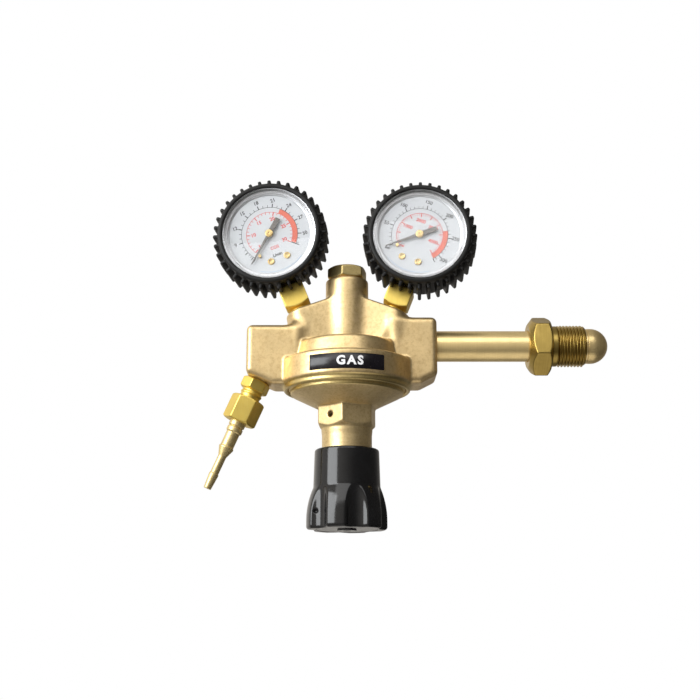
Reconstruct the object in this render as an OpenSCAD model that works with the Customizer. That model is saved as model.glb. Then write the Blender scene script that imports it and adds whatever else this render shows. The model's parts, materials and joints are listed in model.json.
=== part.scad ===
// Single-stage gas regulator with two gauges, a bonnet-mounted adjusting knob,
// a bullnose inlet and a hose tail outlet.
//
// Drawn about the main axis: Z is the diaphragm axis (up is the plug end), X is the
// inlet axis, and the gauges face -Y. place() then moves everything so that the origin
// is the middle of the inlet nut's thread.

/* [Body forging] */
// Radius of the central boss
boss_r = 11.9; // [11:0.1:13]
// Height of the boss top above the inlet axis
boss_top = 37.6; // [36:0.1:40]
// Radius of the diaphragm flange
flange_r = 36.3; // [35.5:0.1:39]
// Level of the flange's upper face
flange_top = -9.2; // [-9.6:0.1:-9]
// Level of the flange's lower face
flange_bottom = -26.2; // [-27:0.1:-24]
// Where the arms start, beside the diaphragm housing
arm_root = 25; // [20:0.5:27]
// Reach of the inlet arm from the main axis
inlet_arm = 49.2; // [48:0.2:54]
// Reach of the outlet arm from the main axis
outlet_arm = 54.9; // [54:0.2:58]
// Half thickness of both arms
arm_half = 12.5; // [12:0.5:14]
// Rounding of the forging's edges
edge_r = 3; // [2:0.5:4]

/* [Gauges] */
// Distance of each gauge port from the main axis
port_x = 25.85; // [25:0.05:28]
// Height of each gauge port above the inlet axis
port_z = 19.85; // [19:0.05:23]
// Outward lean of each gauge stem
port_tilt = 21.5; // [18:0.5:24]
// How far each gauge is screwed round from square
gauge_turn = -4; // [-6:0.5:6]
// Port face to pointer axis of the flow gauge
flow_stem = 43.6; // [40:0.05:46]
// Port face to pointer axis of the cylinder pressure gauge
cylinder_stem = 42.25; // [40:0.05:46]
// Radius of the boot's front ring
boot_r = 28.7; // [28.4:0.1:30]
// Radius over the boot's ribs
rib_r = 31.8; // [31:0.1:33]
// Number of ribs on a boot
rib_count = 36; // [30:1:40]
// Sweep of the pointer over the dial
sweep = 262; // [240:1:270]

/* [Inlet] */
// Turned position of the inlet nut's hexagon
nut_turn = -4; // [-30:1:30]
// Radius of the stem tube
stem_r = 8.5; // [8:0.1:8.5]
// Inlet nut across flats
nut_af = 29.4; // [28:0.2:32]
// Where the inlet nut's hexagon starts
nut_start = 99.85; // [95:0.5:105]
// Length of the inlet nut's hexagon
nut_hex = 12.45; // [11:0.05:14]
// Length of the inlet nut's threaded end
thread_len = 15.45; // [14:0.05:16]
// Major radius of the G5/8 thread
thread_r = 11.455; // [11.4:0.005:11.5]

/* [Outlet] */
// Lean of the outlet from straight down, away from the body
outlet_tilt = 23.7; // [20:0.1:26]
// Outlet adaptor across flats
adaptor_af = 14; // [13:0.5:15]
// Outlet nut across flats
outlet_nut_af = 16.5; // [16:0.5:18]
// Length of the hose tail past its nut
tail_len = 39.4; // [39:0.2:46]

/* [Bonnet and knob] */
// Bonnet hexagon across flats
bonnet_af = 29.2; // [29:0.05:31]
// Radius of the bonnet's neck
neck_r = 13.6; // [13.4:0.1:14]
// Radius of the knob's skirt
knob_r = 17.5; // [17.2:0.1:18]
// Radius over the knob's lobes
lobe_r = 21.8; // [21:0.1:22.5]
// Level of the knob's upper rim
knob_top = -58; // [-59:0.5:-58]
// Level of the knob's lower rim
knob_bottom = -101; // [-103:0.5:-100]

/* [Hidden] */
$fn = 64;
eps = 0.01;
thread_mid = nut_start + nut_hex + 3.35 + thread_len / 2;   // thread middle from the main axis
run = 0.05;                                                 // running clearance on radius

// Valve levels
chamber_r = 7;
chamber_floor = -4;
low_roof = -9;
ledge = -12;
low_r = 24;
lip_top = -1;
plug_end = 24;
plug_thread_r = 8;
plug_hex = 6.9;
seal_t = 0.5;
// Step round the foot of the flange
step_r = 34.8;
step_z = -23.2;
// Diaphragm stack, downwards from the ledge
diaphragm_t = 1.2;
slip_t = 1.5;
bore_r = 32.35;
bonnet_top = ledge - diaphragm_t - slip_t;
plate_face = ledge - diaphragm_t - 2;
// Bonnet cavity and screw
cavity_r = 11;
cavity_floor = -57;
neck_end = -66;
screw_r = 3.45;
button_top = -48;
button_foot = button_top - 2;
// Knob web that carries the screw's insert
web_top = -76;
web_foot = -84;
insert_r = 7;
// Knob flare
skirt_foot_r = 18.1;
flare_top = -78.5;
flare_foot = -96;
cap_r = 16.4;
// Outlet seat: the point where the outlet axis leaves the arm
out_x = -49.2;
out_z = -19.5;
// Levels along the outlet from its seat on the arm
adaptor_hex = 6.4;
adaptor_end = 18;
nut_from = 11.2;
nut_to = nut_from + 14.2;
tail_seat = 21;
// Gauge depths, measured forward of the stem's axis
ring_front = 20.6;
boot_back = -9.2;
case_back = -7;
lens_front = 19.8;
lens_back = 18.7;
dial_face = 15.9;
dial_t = 0.6;
pointer_z = 17.2;
case_r = 26.6;
plate_front = 12.9;
plate_back = 6.2;
plate_t = 0.6;
block_face = 4;
stem_af = 14;
stem_gap = stem_af / 2 + 0.3;
tube_r = 17;
gear_z = 9.4;
// Movement: a 14-tooth pinion driven by a sector cut from an 84-tooth wheel
module_mm = 0.25;
pinion_teeth = 14;
wheel_teeth = 84;
gear_ratio = wheel_teeth / pinion_teeth;
swing = sweep / gear_ratio;
pinion_r = module_mm * pinion_teeth / 2;
wheel_r = module_mm * wheel_teeth / 2;
pivot_y = -(pinion_r + wheel_r);
sector_teeth = 15;
tail_r = 4.2;
tip_angle = 20;
pillar_places = [[0, 4.2], [-2.2, pivot_y - 3.5], [2.2, pivot_y - 3.5]];
// Angle of the resting pointer, anticlockwise from x
rest_angle = 90 + sweep / 2;
// Bourdon tube section: width along the pointer axis, and thickness
tube_w = 6;
tube_h = 2.2;
tube_y = 0.5;
// Section of its fixed end, which plugs into the stem
plug_w = 5.4;
plug_h = 1.8;
// The link's two ends: the tail pin at rest, and the tube's tip
tail_pin = [tail_r * cos(-swing / 2), pivot_y + tail_r * sin(-swing / 2)];
tip_pin = [tube_r * cos(tip_angle + 1.6), tube_r * sin(tip_angle + 1.6)];

// ---------------------------------------------------------------- frames

// Main-axis drawing to the part's own frame
module place() {
    translate([-thread_mid, 0, 0]) children();
}

// A gauge port's frame: +Z out of the port; side is -1 for flow, 1 for cylinder pressure
module at_port(side) {
    translate([side * port_x, 0, port_z]) rotate([0, side * port_tilt, 0]) children();
}

function stem_length(side) = side < 0 ? flow_stem : cylinder_stem;

// A gauge's own frame: origin on the pointer axis, x right, y towards twelve, z to the viewer
module gauge(side) {
    place() at_port(side) rotate([0, 0, gauge_turn]) translate([0, 0, stem_length(side)])
        rotate([90, 0, 0]) children();
}

// The outlet's frame: +Z along the outlet, away from the body
module at_outlet() {
    translate([out_x, 0, out_z]) rotate([0, 180 + outlet_tilt, 0]) children();
}

// Along +X from the main axis
module along_x() {
    rotate([0, 90, 0]) children();
}

// ---------------------------------------------------------------- shapes

// Cylinder between two levels
module rod(r, z0, z1) {
    translate([0, 0, z0]) cylinder(r = r, h = z1 - z0);
}

// Tube between two levels
module tube(r_out, r_in, z0, z1) {
    difference() {
        rod(r_out, z0, z1);
        rod(r_in, z0 - 1, z1 + 1);
    }
}

// Hexagon bar between two levels, both ends chamfered at 30 degrees
module hex_bar(af, z0, z1) {
    corner = af / 2 / cos(30);
    flat = af / 2 * 0.96;
    rise = (corner - flat) * tan(30);
    translate([0, 0, z0]) intersection() {
        cylinder(r = corner, h = z1 - z0, $fn = 6);
        rotate_extrude() polygon([[0, 0], [flat, 0], [corner, rise], [corner, z1 - z0 - rise],
            [flat, z1 - z0], [0, z1 - z0]]);
    }
}

// Square bar between two levels, with a turned chamfer round its upper end
module square_bar(af, z0, z1) {
    wide_r = 0.8 * af;
    end_r = 0.42 * af;
    intersection() {
        translate([-af / 2, -af / 2, z0]) cube([af, af, z1 - z0 + 1]);
        rotate_extrude() polygon([[0, z0 - 1], [wide_r, z0 - 1],
            [wide_r, z1 - (wide_r - end_r) * tan(25)], [end_r, z1], [0, z1]]);
    }
}

// One vertex of a helix's section ring
function coil_vertex(mean_r, wire_r, turn, z, a) = [
    (mean_r + wire_r * cos(a)) * cos(360 * turn),
    (mean_r + wire_r * cos(a)) * sin(360 * turn),
    z + wire_r * sin(a)];

// Compression spring with closed ends, standing between two levels
module coil(mean_r, wire_r, z0, z1, turns, steps, sides = 8) {
    rings = turns * steps;
    span = z1 - z0 - 2 * wire_r;
    closed = 1 / turns;
    pitch = function(u) u < closed ? u * 0.35
        : u > 1 - closed ? 1 - (1 - u) * 0.35
        : closed * 0.35 + (u - closed) * (1 - 0.7 * closed) / (1 - 2 * closed);
    points = [for (i = [0 : rings], j = [0 : sides - 1])
        coil_vertex(mean_r, wire_r, i / steps, z0 + wire_r + span * pitch(i / rings),
            360 * j / sides)];
    walls = [for (i = [0 : rings - 1], j = [0 : sides - 1])
        let (k = (j + 1) % sides)
        [i * sides + j, i * sides + k, (i + 1) * sides + k, (i + 1) * sides + j]];
    first = [for (j = [sides - 1 : -1 : 0]) j];
    last = [for (j = [0 : sides - 1]) rings * sides + j];
    polyhedron(points, concat(walls, [first, last]), convexity = 10);
}

// ---------------------------------------------------------------- body

// Rounded slab through the given [x, z] corners, symmetric about Y = 0
module arm(corners) {
    hull() for (c = corners, s = [-1, 1])
        translate([c[0], s * (arm_half - edge_r), c[1]]) sphere(r = edge_r, $fn = 16);
}

module outlet_arm_slab() {
    end_x = -outlet_arm + edge_r;
    under = -23.5 + edge_r;
    // Centres of the edge rounds along the sloped face, which is square to the outlet
    reach = -out_x * sin(outlet_tilt) - out_z * cos(outlet_tilt) - edge_r;
    slope_z = -(reach + end_x * sin(outlet_tilt)) / cos(outlet_tilt);
    slope_x = -(reach + under * cos(outlet_tilt)) / sin(outlet_tilt);
    arm([[end_x, 9.7 - edge_r], [end_x, slope_z], [slope_x, under],
        [-arm_root, under], [-arm_root, 6.7]]);
}

module inlet_arm_slab() {
    end_x = inlet_arm - edge_r;
    arm([[end_x, 14 - edge_r], [end_x, -15.2], [37, -20],
        [arm_root, -20], [arm_root, 11]]);
}

// Web that carries a gauge port, from the boss to the port's lobe
module shoulder(side) {
    at_port(side) hull() {
        translate([0, 0, -26]) scale([1, 1.3, 1]) cylinder(r = 8.9, h = 26, $fn = 32);
        translate([-side * 16, 0, -26]) cylinder(r = 9, h = 26, $fn = 32);
    }
}

module body_blank() {
    rotate_extrude() polygon([[0, flange_bottom], [step_r - 0.8, flange_bottom],
        [step_r, flange_bottom + 0.7], [step_r, step_z], [flange_r, step_z + 0.9],
        [flange_r, flange_top - 1.2], [flange_r - 1.2, flange_top], [29.3, flange_top],
        [27.6, -0.3], [26.6, 1], [0, 1]]);
    rotate_extrude() polygon([[0, 0], [boss_r, 0], [boss_r, boss_top - 1.6],
        [boss_r - 0.5, boss_top - 0.5], [boss_r - 1.6, boss_top], [0, boss_top]]);
    for (side = [-1, 1]) shoulder(side);
    outlet_arm_slab();
    inlet_arm_slab();
}

module body_bores() {
    rod(chamber_r, chamber_floor, plug_end + 4);
    rod(plug_thread_r + run, plug_end, boss_top + 1);
    rod(4, low_roof - 1, chamber_floor + 1);
    rod(low_r, ledge - 1, low_roof);
    rod(bore_r, flange_bottom - 1, ledge);
    along_x() {
        rod(7.45, inlet_arm - 13.2, inlet_arm + 1);
        rod(2.5, 5, inlet_arm - 13);
    }
    for (side = [-1, 1]) at_port(side) rod(4.85, -10, 1);
    // Flow gauge port down to the diaphragm chamber
    at_port(-1) rod(1.2, -33.5, -9);
    // Pressure gauge port across to the high-pressure chamber
    translate([22.8, 0, 12.2]) rotate([0, 246.5 - 180, 0]) rod(1.2, -19, 0);
    // Outlet port, and the passage from the diaphragm chamber to it
    at_outlet() rod(4.85, -10, 1);
    translate([0, 0, -10.5]) along_x() rod(1.3, -45.2, -22);
}

module body_forging() {
    color("tan") place() difference() {
        body_blank();
        body_bores();
    }
}

module label_plate() {
    half = 32.6;
    color([0.05, 0.05, 0.05]) place() rotate([0, 0, -90 - half])
        rotate_extrude(angle = 2 * half) translate([flange_r, -20.7]) square([0.3, 8.3]);
}

// ---------------------------------------------------------------- high-pressure valve

module top_plug() {
    seal_top = boss_top + seal_t;
    color("goldenrod") place() difference() {
        union() {
            rotate([0, 0, -103.8]) hex_bar(19.7, seal_top, seal_top + plug_hex);
            rod(plug_thread_r, plug_end, seal_top + 1);
        }
        rod(2 + run, plug_end - 1, plug_end + 7);
    }
}

module plug_seal() {
    color("peru") place() tube(9.7, plug_thread_r + 0.1, boss_top, boss_top + seal_t);
}

module valve_poppet() {
    color("goldenrod") place() difference() {
        union() {
            rod(5.2, -0.6, 8);
            rod(2, 8, plug_end + 3);
        }
        rod(3.45, -1, 1.2);
        rod(0.9, 0, 2.2);
    }
}

module seat_disc() {
    color("ivory") place() tube(3.4, 0.9, lip_top, 1.2);
}

module poppet_spring() {
    color("silver") place() coil(3.4, 0.45, 8, plug_end, turns = 7, steps = 12);
}

module seat_nozzle() {
    color("gold") place() difference() {
        union() {
            rod(3.95, low_roof, chamber_floor);
            rod(6.5, chamber_floor, -2.2);
            rod(2.2, -2.2, lip_top);
        }
        rod(1.2, low_roof - 1, 0);
    }
}

module valve_pin() {
    color("silver") place() rod(0.9, ledge + 1, 2.2);
}

// ---------------------------------------------------------------- diaphragm and bonnet

module diaphragm() {
    color([0.15, 0.15, 0.15]) place() tube(32, 3, ledge - diaphragm_t, ledge);
}

module diaphragm_plate() {
    color("goldenrod") place() {
        rod(2.9, ledge - diaphragm_t - 1, ledge + 1);
        rod(14, plate_face, ledge - diaphragm_t);
        rod(7, plate_face - 3, plate_face);
    }
}

module slip_ring() {
    color("silver") place() tube(32.2, 27, bonnet_top, bonnet_top + slip_t);
}

module range_spring() {
    color("slategray") place() coil(8.9, 1.45, button_top, plate_face, turns = 6, steps = 16);
}

module spring_button() {
    color("goldenrod") place() difference() {
        union() {
            rod(cavity_r - run, button_foot, button_top);
            rod(6.9, button_top - 1, button_top + 1.2);
        }
        translate([0, 0, button_foot - eps]) cylinder(r1 = 3, r2 = 0.5, h = 2.2);
    }
}

module adjusting_screw() {
    shank_top = button_foot - 0.6;
    color("silver") place() {
        rod(screw_r, web_foot, shank_top);
        translate([0, 0, shank_top]) cylinder(r1 = 2.5, r2 = 0.8, h = 1.8);
    }
}

module bonnet() {
    color("tan") place() difference() {
        union() {
            rotate_extrude() polygon([[0, bonnet_top], [32.3, bonnet_top], [32.3, -25.2],
                [31, -25.6], [31, -27.6], [17, -34.8], [14.4, -35], [14.4, -46.2],
                [neck_r, -50], [neck_r, neck_end], [0, neck_end]]);
            rotate([0, 0, -98.6]) hex_bar(bonnet_af, -46.2, -32);
        }
        rotate_extrude() polygon([[0, bonnet_top + 1], [27, bonnet_top + 1], [27, -18],
            [cavity_r, -31], [cavity_r, cavity_floor], [0, cavity_floor]]);
        rod(screw_r + run, neck_end - 1, cavity_floor + 1);
        // Vent in the middle of a hexagon face
        rotate([0, 0, -90 - 38.6]) translate([0, 0, -40]) along_x() rod(1.65, 8, 20);
    }
}

// Radius of the knob's flared part at level z, an arc that runs out upright at flare_foot
function flare(z) =
    let (drop = flare_foot - flare_top, out = lobe_r - skirt_foot_r,
        arc_r = (drop * drop + out * out) / (2 * out), rise = max(0, z - flare_foot))
    lobe_r - (arc_r - sqrt(arc_r * arc_r - rise * rise));

module knob() {
    flute_r = 7.5;
    flute_depth_r = skirt_foot_r - 0.1;
    steps = 8;
    flared = [for (i = [1 : steps])
        let (z = flare_top + (flare_foot - flare_top) * i / steps) [flare(z), z]];
    color([0.06, 0.06, 0.07]) place() difference() {
        rotate_extrude() polygon(concat(
            [[0, knob_top], [knob_r - 0.8, knob_top], [knob_r, knob_top - 0.8],
                [skirt_foot_r, flare_top]],
            flared,
            [[lobe_r, knob_bottom + 1], [lobe_r - 1, knob_bottom], [0, knob_bottom]]));
        // Flutes between the lobes
        for (i = [0 : 5]) rotate([0, 0, -90 - 45.5 + 60 * i])
            translate([flute_depth_r + flute_r, 0, 0]) rod(flute_r, knob_bottom - 1, flare_top - 0.5);
        rod(neck_r + 1.4, web_top, knob_top + 1);
        rod(insert_r, web_foot - 1, web_top + 1);
        rod(cap_r + eps, knob_bottom - 1, web_foot);
        // Blind pip in one flute
        translate([-16.4, -10.3, -92]) rotate([90, 0, 7]) cylinder(r = 1, h = 4, center = true);
    }
}

module knob_insert() {
    color("gold") place() difference() {
        rod(insert_r, web_foot, web_top);
        rod(screw_r, web_foot - 1, web_top + 1);
    }
}

module knob_cap() {
    color("gainsboro") place() difference() {
        union() {
            rod(cap_r, knob_bottom + 0.2, knob_bottom + 2.2);
            rod(5.2, knob_bottom - 0.5, -90.2);
        }
        rod(2, knob_bottom - 1, knob_bottom + 2);
    }
}

// ---------------------------------------------------------------- inlet

module inlet_stem() {
    shoulder_x = thread_mid + thread_len / 2 + 0.1;
    nose_x = shoulder_x + 3.3;
    nose_r = 9.7;
    color("gold") place() along_x() difference() {
        union() {
            rod(7.4, inlet_arm - 13.2, inlet_arm + 1);
            rod(stem_r, inlet_arm, shoulder_x + 1);
            rod(nose_r, shoulder_x, nose_x);
            intersection() {
                translate([0, 0, nose_x]) sphere(r = nose_r);
                rod(nose_r, nose_x, nose_x + nose_r);
            }
        }
        rod(5, inlet_arm - 14, inlet_arm - 1.2);
        rod(2.2, inlet_arm - 2, nose_x + nose_r + 1);
    }
}

module inlet_filter() {
    color("peru") place() along_x() rod(5, inlet_arm - 13, inlet_arm - 2);
}

module inlet_nut() {
    hex_end = nut_start + nut_hex;
    color("darkgoldenrod") place() along_x() difference() {
        union() {
            rotate([0, 0, nut_turn]) hex_bar(nut_af, nut_start, hex_end);
            rod(thread_r - 0.3, hex_end - 1, thread_mid - thread_len / 2 + 0.2);
            rod(thread_r, thread_mid - thread_len / 2, thread_mid + thread_len / 2);
        }
        rod(stem_r + run, nut_start - 1, thread_mid + thread_len);
    }
}

// ---------------------------------------------------------------- outlet

module outlet_adaptor() {
    color("gold") place() at_outlet() difference() {
        union() {
            rotate([0, 0, -19]) hex_bar(adaptor_af, 0, adaptor_hex);
            rod(4.8, -9, 1);
            rod(5.6, adaptor_hex - 1, nut_from + 1);
            rod(6, nut_from + 0.5, adaptor_end);
        }
        rod(2.6, -10, -6);
        rod(1.8, -7, adaptor_end + 1);
    }
}

module outlet_orifice() {
    color("silver") place() at_outlet() tube(2.6, 0.4, -8.5, -6);
}

module outlet_nut() {
    color("gold") place() at_outlet() difference() {
        rotate([0, 0, -4.5]) hex_bar(outlet_nut_af, nut_from, nut_to);
        rod(6 + run, nut_from - 1, tail_seat);
        rod(4.6, tail_seat - 1, nut_to + 1);
    }
}

module hose_tail() {
    barb = tail_len + nut_to;
    color("khaki") place() at_outlet() difference() {
        rotate_extrude() polygon([[0, adaptor_end + 0.2], [5.8, adaptor_end + 0.2], [5.8, tail_seat],
            [4.5, tail_seat], [4.5, nut_to + 2.6], [3.9, nut_to + 2.7], [3.9, nut_to + 3.2],
            [4.4, nut_to + 3.3], [4.4, nut_to + 5.8], [3.7, nut_to + 6.2], [3.7, barb - 24.8],
            [4.15, barb - 24.6], [2.3, barb - 19], [2.3, barb - 8.9], [2.65, barb - 8.7],
            [2.05, barb], [0, barb]]);
        rod(1.2, adaptor_end - 1, barb + 1);
    }
}

// ---------------------------------------------------------------- gauge housing

module gauge_boot(side) {
    color([0.1, 0.1, 0.1]) gauge(side) difference() {
        union() {
            rotate_extrude() polygon([[0, boot_back], [boot_r - 4, boot_back],
                [boot_r - 1.2, boot_back + 3],
                [boot_r - 1.2, 14], [boot_r, 16.2], [boot_r, 19.2], [boot_r - 1.2, ring_front],
                [25.9, ring_front - 0.2], [0, ring_front - 0.2]]);
            for (i = [0 : rib_count - 1]) rotate([0, 0, 360 * i / rib_count])
                translate([boot_r - 3, -0.95, -4]) cube([rib_r - boot_r + 3, 1.9, 20.6]);
        }
        rod(25.9, lens_back - 1, ring_front + 1);
        rod(case_r, case_back, lens_front - 1);
        // Square opening for the stem
        translate([-stem_gap, -rib_r - 2, -stem_gap])
            cube([2 * stem_gap, rib_r - case_r + 5, 2 * stem_gap]);
        // Moulded-in dish in the back
        rod(18, boot_back - 1, boot_back + 0.8);
    }
}

module gauge_case(side) {
    wall = 0.8;
    color("dimgray") gauge(side) difference() {
        rod(case_r, case_back, lens_back);
        rod(case_r - wall, case_back + wall, lens_back + 1);
        rotate([90, 0, 0]) rod(6 + run, 20, case_r + 1);
    }
}

module gauge_lens(side) {
    color([0.9, 0.95, 1, 0.35]) gauge(side) rotate_extrude() polygon([[0, lens_back], [24.2, lens_back],
        [24.2, 17.6], [25.7, 17.6], [25.7, lens_back], [25.85, lens_back], [25.85, lens_front - 0.3],
        [24.4, lens_front + 0.4], [22.6, lens_front], [0, lens_front]]);
}

// Where the two dial screws stand, below the pointer axis
function dial_screw_pos(s) = [s * 15.8 * sin(17.3), -15.8 * cos(17.3)];

module gauge_dial(side) {
    color("white") gauge(side) difference() {
        rod(25.2, dial_face - dial_t, dial_face);
        rod(1.6, dial_face - 1, dial_face + 1);
        for (s = [-1, 1]) translate(dial_screw_pos(s)) rod(0.95, dial_face - 1, dial_face + 1);
        stop_place() rod(0.6, dial_face - 1, dial_face + 1);
    }
}

module gauge_dial_screws(side) {
    color("gold") gauge(side) for (s = [-1, 1]) translate(dial_screw_pos(s)) {
        difference() {
            rod(1.95, dial_face, dial_face + 0.7);
            translate([-2, -0.2, dial_face + 0.4]) cube([4, 0.4, 1]);
        }
        rod(0.8, plate_front - 0.4, dial_face + 0.1);
    }
}

// The stop stands beside the resting pointer, below the scale's zero
module stop_place() {
    rotate([0, 0, rest_angle + 6]) translate([13.8, 0, 0]) children();
}

module gauge_stop_pin(side) {
    color("gold") gauge(side) stop_place() {
        rod(0.6, dial_face - dial_t, dial_face);
        rod(0.85, dial_face, pointer_z + 0.6);
    }
}

// ---------------------------------------------------------------- gauge movement

module gauge_stem(side) {
    // Levels along the stem, from the pointer axis towards the port
    port = stem_length(side);
    color("gold") gauge(side) rotate([90, 0, 0]) difference() {
        union() {
            square_bar(stem_af, case_r + 1.4, port - 1.9);
            rod(5.4, port - 2.4, port);
            rod(4.8, port - 1, port + 8.5);
            rod(6, 23, case_r + 2);
            translate([-5, -3.6, 10]) cube([10, block_face + 3.6, 14]);
        }
        rod(1.2, 14, port + 9);
        // Pocket for the Bourdon tube's fixed end, and the drilling that feeds it
        translate([-6, tube_y - plug_w / 2, tube_r - plug_h / 2]) cube([2.5, plug_w, plug_h]);
        translate([0, tube_y, tube_r]) rotate([0, -90, 0]) rod(0.5, 0, 4);
    }
}

module tube_section(grow) {
    square([tube_h + 2 * grow, tube_w + 2 * grow], center = true);
}

module gauge_bourdon_tube(side) {
    start = 360 - 109;
    arc = start - tip_angle;
    color("peru") gauge(side) translate([0, 0, tube_y]) {
        difference() {
            union() {
                rotate([0, 0, tip_angle]) rotate_extrude(angle = arc) translate([tube_r, 0])
                    tube_section(0);
                // Fixed end, straight into the stem's block
                translate([-6.4, -tube_r - plug_h / 2, -plug_w / 2]) cube([2.9, plug_h, plug_w]);
            }
            rotate([0, 0, tip_angle + 4]) rotate_extrude(angle = arc - 6) translate([tube_r, 0])
                tube_section(-0.35);
            translate([-7, -tube_r, 0]) rotate([0, 90, 0]) cylinder(r = 0.5, h = 5);
        }
        // Pin at the free end, for the link
        rotate([0, 0, tip_angle + 1.6]) translate([tube_r, 0, 0])
            rod(0.5, tube_w / 2 - 0.5, gear_z - tube_y);
    }
}

// Outline of both movement plates; foot is the radius about the sector's pivot
module plate_outline(foot) {
    circle(r = 5);
    translate([0, pivot_y]) circle(r = foot);
    translate([-4.6, pivot_y]) square([9.2, -pivot_y]);
}

module gauge_movement_plates(side) {
    color("goldenrod") gauge(side) difference() {
        union() {
            translate([0, 0, plate_front - plate_t]) linear_extrude(plate_t) plate_outline(6.8);
            translate([0, 0, plate_back]) linear_extrude(plate_t) plate_outline(5.2);
            for (p = pillar_places) translate(p) rod(0.7, plate_back, plate_front);
            for (s = [-1, 1]) translate(dial_screw_pos(s))
                rod(1.5, plate_front - plate_t, dial_face - dial_t);
            // Pad that stands the plates off the stem's block
            translate([-4, pivot_y - 1.5, block_face]) cube([8, 3, plate_back - block_face]);
        }
        rod(0.6 + run, plate_back - 1, plate_back + 2);
        rod(1 + run, plate_front - 2, plate_front + 1);
        translate([0, pivot_y]) rod(0.6 + run, plate_back - 0.8, plate_front + 1);
        for (s = [-1, 1]) translate(dial_screw_pos(s)) rod(0.8, plate_front - 0.4, dial_face);
    }
}

// Involute of a pressure angle, in degrees
function involute(a) = tan(a) * 180 / PI - a;

// Half a tooth's angle at radius r, thinned for backlash
function half_tooth(r, teeth) =
    let (pitch_r = module_mm * teeth / 2, base_r = pitch_r * cos(20))
    90 / teeth - 0.04 / pitch_r * 180 / PI + involute(20)
        - involute(acos(min(1, base_r / max(r, base_r))));

// One tooth as seen from the front, pointing along +y
module tooth(teeth, add, ded) {
    pitch_r = module_mm * teeth / 2;
    steps = 5;
    r_at = function(i) pitch_r - ded * module_mm + (add + ded) * module_mm * i / steps;
    right = [for (i = [0 : steps]) let (r = r_at(i), a = half_tooth(r, teeth)) [r * sin(a), r * cos(a)]];
    left = [for (i = [steps : -1 : 0]) [-right[i][0], right[i][1]]];
    polygon(concat([[0, pitch_r - 4 * module_mm]], right, left));
}

module gauge_pinion(side) {
    color("gold") gauge(side) {
        rod(0.6, plate_back, pointer_z + 0.9);
        rod(1, plate_front - 1.4, pointer_z);
        translate([0, 0, gear_z - 0.4]) linear_extrude(1.6) {
            circle(r = pinion_r - 1.2 * module_mm);
            for (i = [0 : pinion_teeth - 1]) rotate(360 * (i + 0.5) / pinion_teeth)
                tooth(pinion_teeth, 1, 1.2);
        }
    }
}

module gauge_sector_gear(side) {
    web = 0.8;
    // At rest the sector stands at the zero end of its swing
    color("gold") gauge(side) translate([0, pivot_y]) rotate([0, 0, -swing / 2]) {
        difference() {
            union() {
                translate([0, 0, gear_z]) linear_extrude(web) difference() {
                    union() {
                        circle(r = 2);
                        intersection() {
                            circle(r = wheel_r - 1.1 * module_mm);
                            polygon([[0, -1.5], [-7, 12], [7, 12]]);
                        }
                        for (i = [0 : sector_teeth - 1])
                            rotate(360 / wheel_teeth * (i - (sector_teeth - 1) / 2))
                                tooth(wheel_teeth, 0.9, 1.2);
                        // Tail arm, to the link
                        translate([0, -0.8]) square([tail_r, 1.6]);
                        translate([tail_r, 0]) circle(r = 1);
                    }
                    polygon([[-1, 3.6], [1, 3.6], [3.4, 8.2], [-3.4, 8.2]]);
                }
                rod(0.6, plate_back, plate_front);
                rod(1, plate_back + plate_t + 0.1, gear_z + 1.8);
            }
            translate([tail_r, 0]) rod(0.45, gear_z - 1, gear_z + 2);
        }
    }
}

module gauge_link(side) {
    reach = tip_pin - tail_pin;
    heading = atan2(reach[1], reach[0]);
    top = gear_z - 0.1;
    color("silver") gauge(side) difference() {
        union() {
            translate([tail_pin[0], tail_pin[1], top - 0.5]) rotate([0, 0, heading]) {
                cylinder(r = 1, h = 0.5);
                translate([0, -0.5, 0]) cube([norm(reach), 1, 0.5]);
                translate([norm(reach), 0, 0]) cylinder(r = 1, h = 0.5);
                cylinder(r = 0.4, h = 1.7);
            }
        }
        translate(tip_pin) rod(0.5 + run, top - 1, top + 1);
    }
}

// Point on one edge of the hairspring; u runs from 0 at the arbor to 1 at the outer end
function spiral_point(u, turns, offset) =
    let (r = 1.4 + 1.6 * u + offset, a = 360 * turns * u)
    [r * cos(a), r * sin(a)];

// Flat spiral between the plates
module gauge_hairspring(side) {
    turns = 3.5;
    steps = 56;
    half_w = 0.1;
    outer = [for (i = [0 : steps]) spiral_point(i / steps, turns, half_w)];
    inner = [for (i = [steps : -1 : 0]) spiral_point(i / steps, turns, -half_w)];
    color("silver") gauge(side) translate([0, 0, plate_back + 1.1]) linear_extrude(0.5)
        polygon(concat(outer, inner));
}

module gauge_pointer(side) {
    thick = 0.4;
    color([0.3, 0.29, 0.27]) gauge(side) translate([0, 0, pointer_z]) rotate([0, 0, rest_angle])
        difference() {
            union() {
                cylinder(r = 3, h = thick);
                linear_extrude(thick) polygon([[1, 0.82], [20, 0.25], [20, -0.25], [1, -0.82]]);
                translate([-9.9, -1.35, 0]) cube([8.5, 2.7, thick]);
            }
            rod(0.6, -1, 1);
        }
}

module gauge_pointer_cap(side) {
    color("gold") gauge(side) difference() {
        rod(2.3, pointer_z + 0.4, pointer_z + 1.2);
        rod(0.6, pointer_z, pointer_z + 0.9);
    }
}

// ---------------------------------------------------------------- nodes

body_forging();
top_plug();
plug_seal();
poppet_spring();
valve_poppet();
seat_disc();
seat_nozzle();
valve_pin();
diaphragm();
diaphragm_plate();
slip_ring();
range_spring();
spring_button();
adjusting_screw();
bonnet();
knob();
knob_insert();
knob_cap();
label_plate();
inlet_stem();
inlet_nut();
inlet_filter();
outlet_adaptor();
outlet_orifice();
outlet_nut();
hose_tail();

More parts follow.
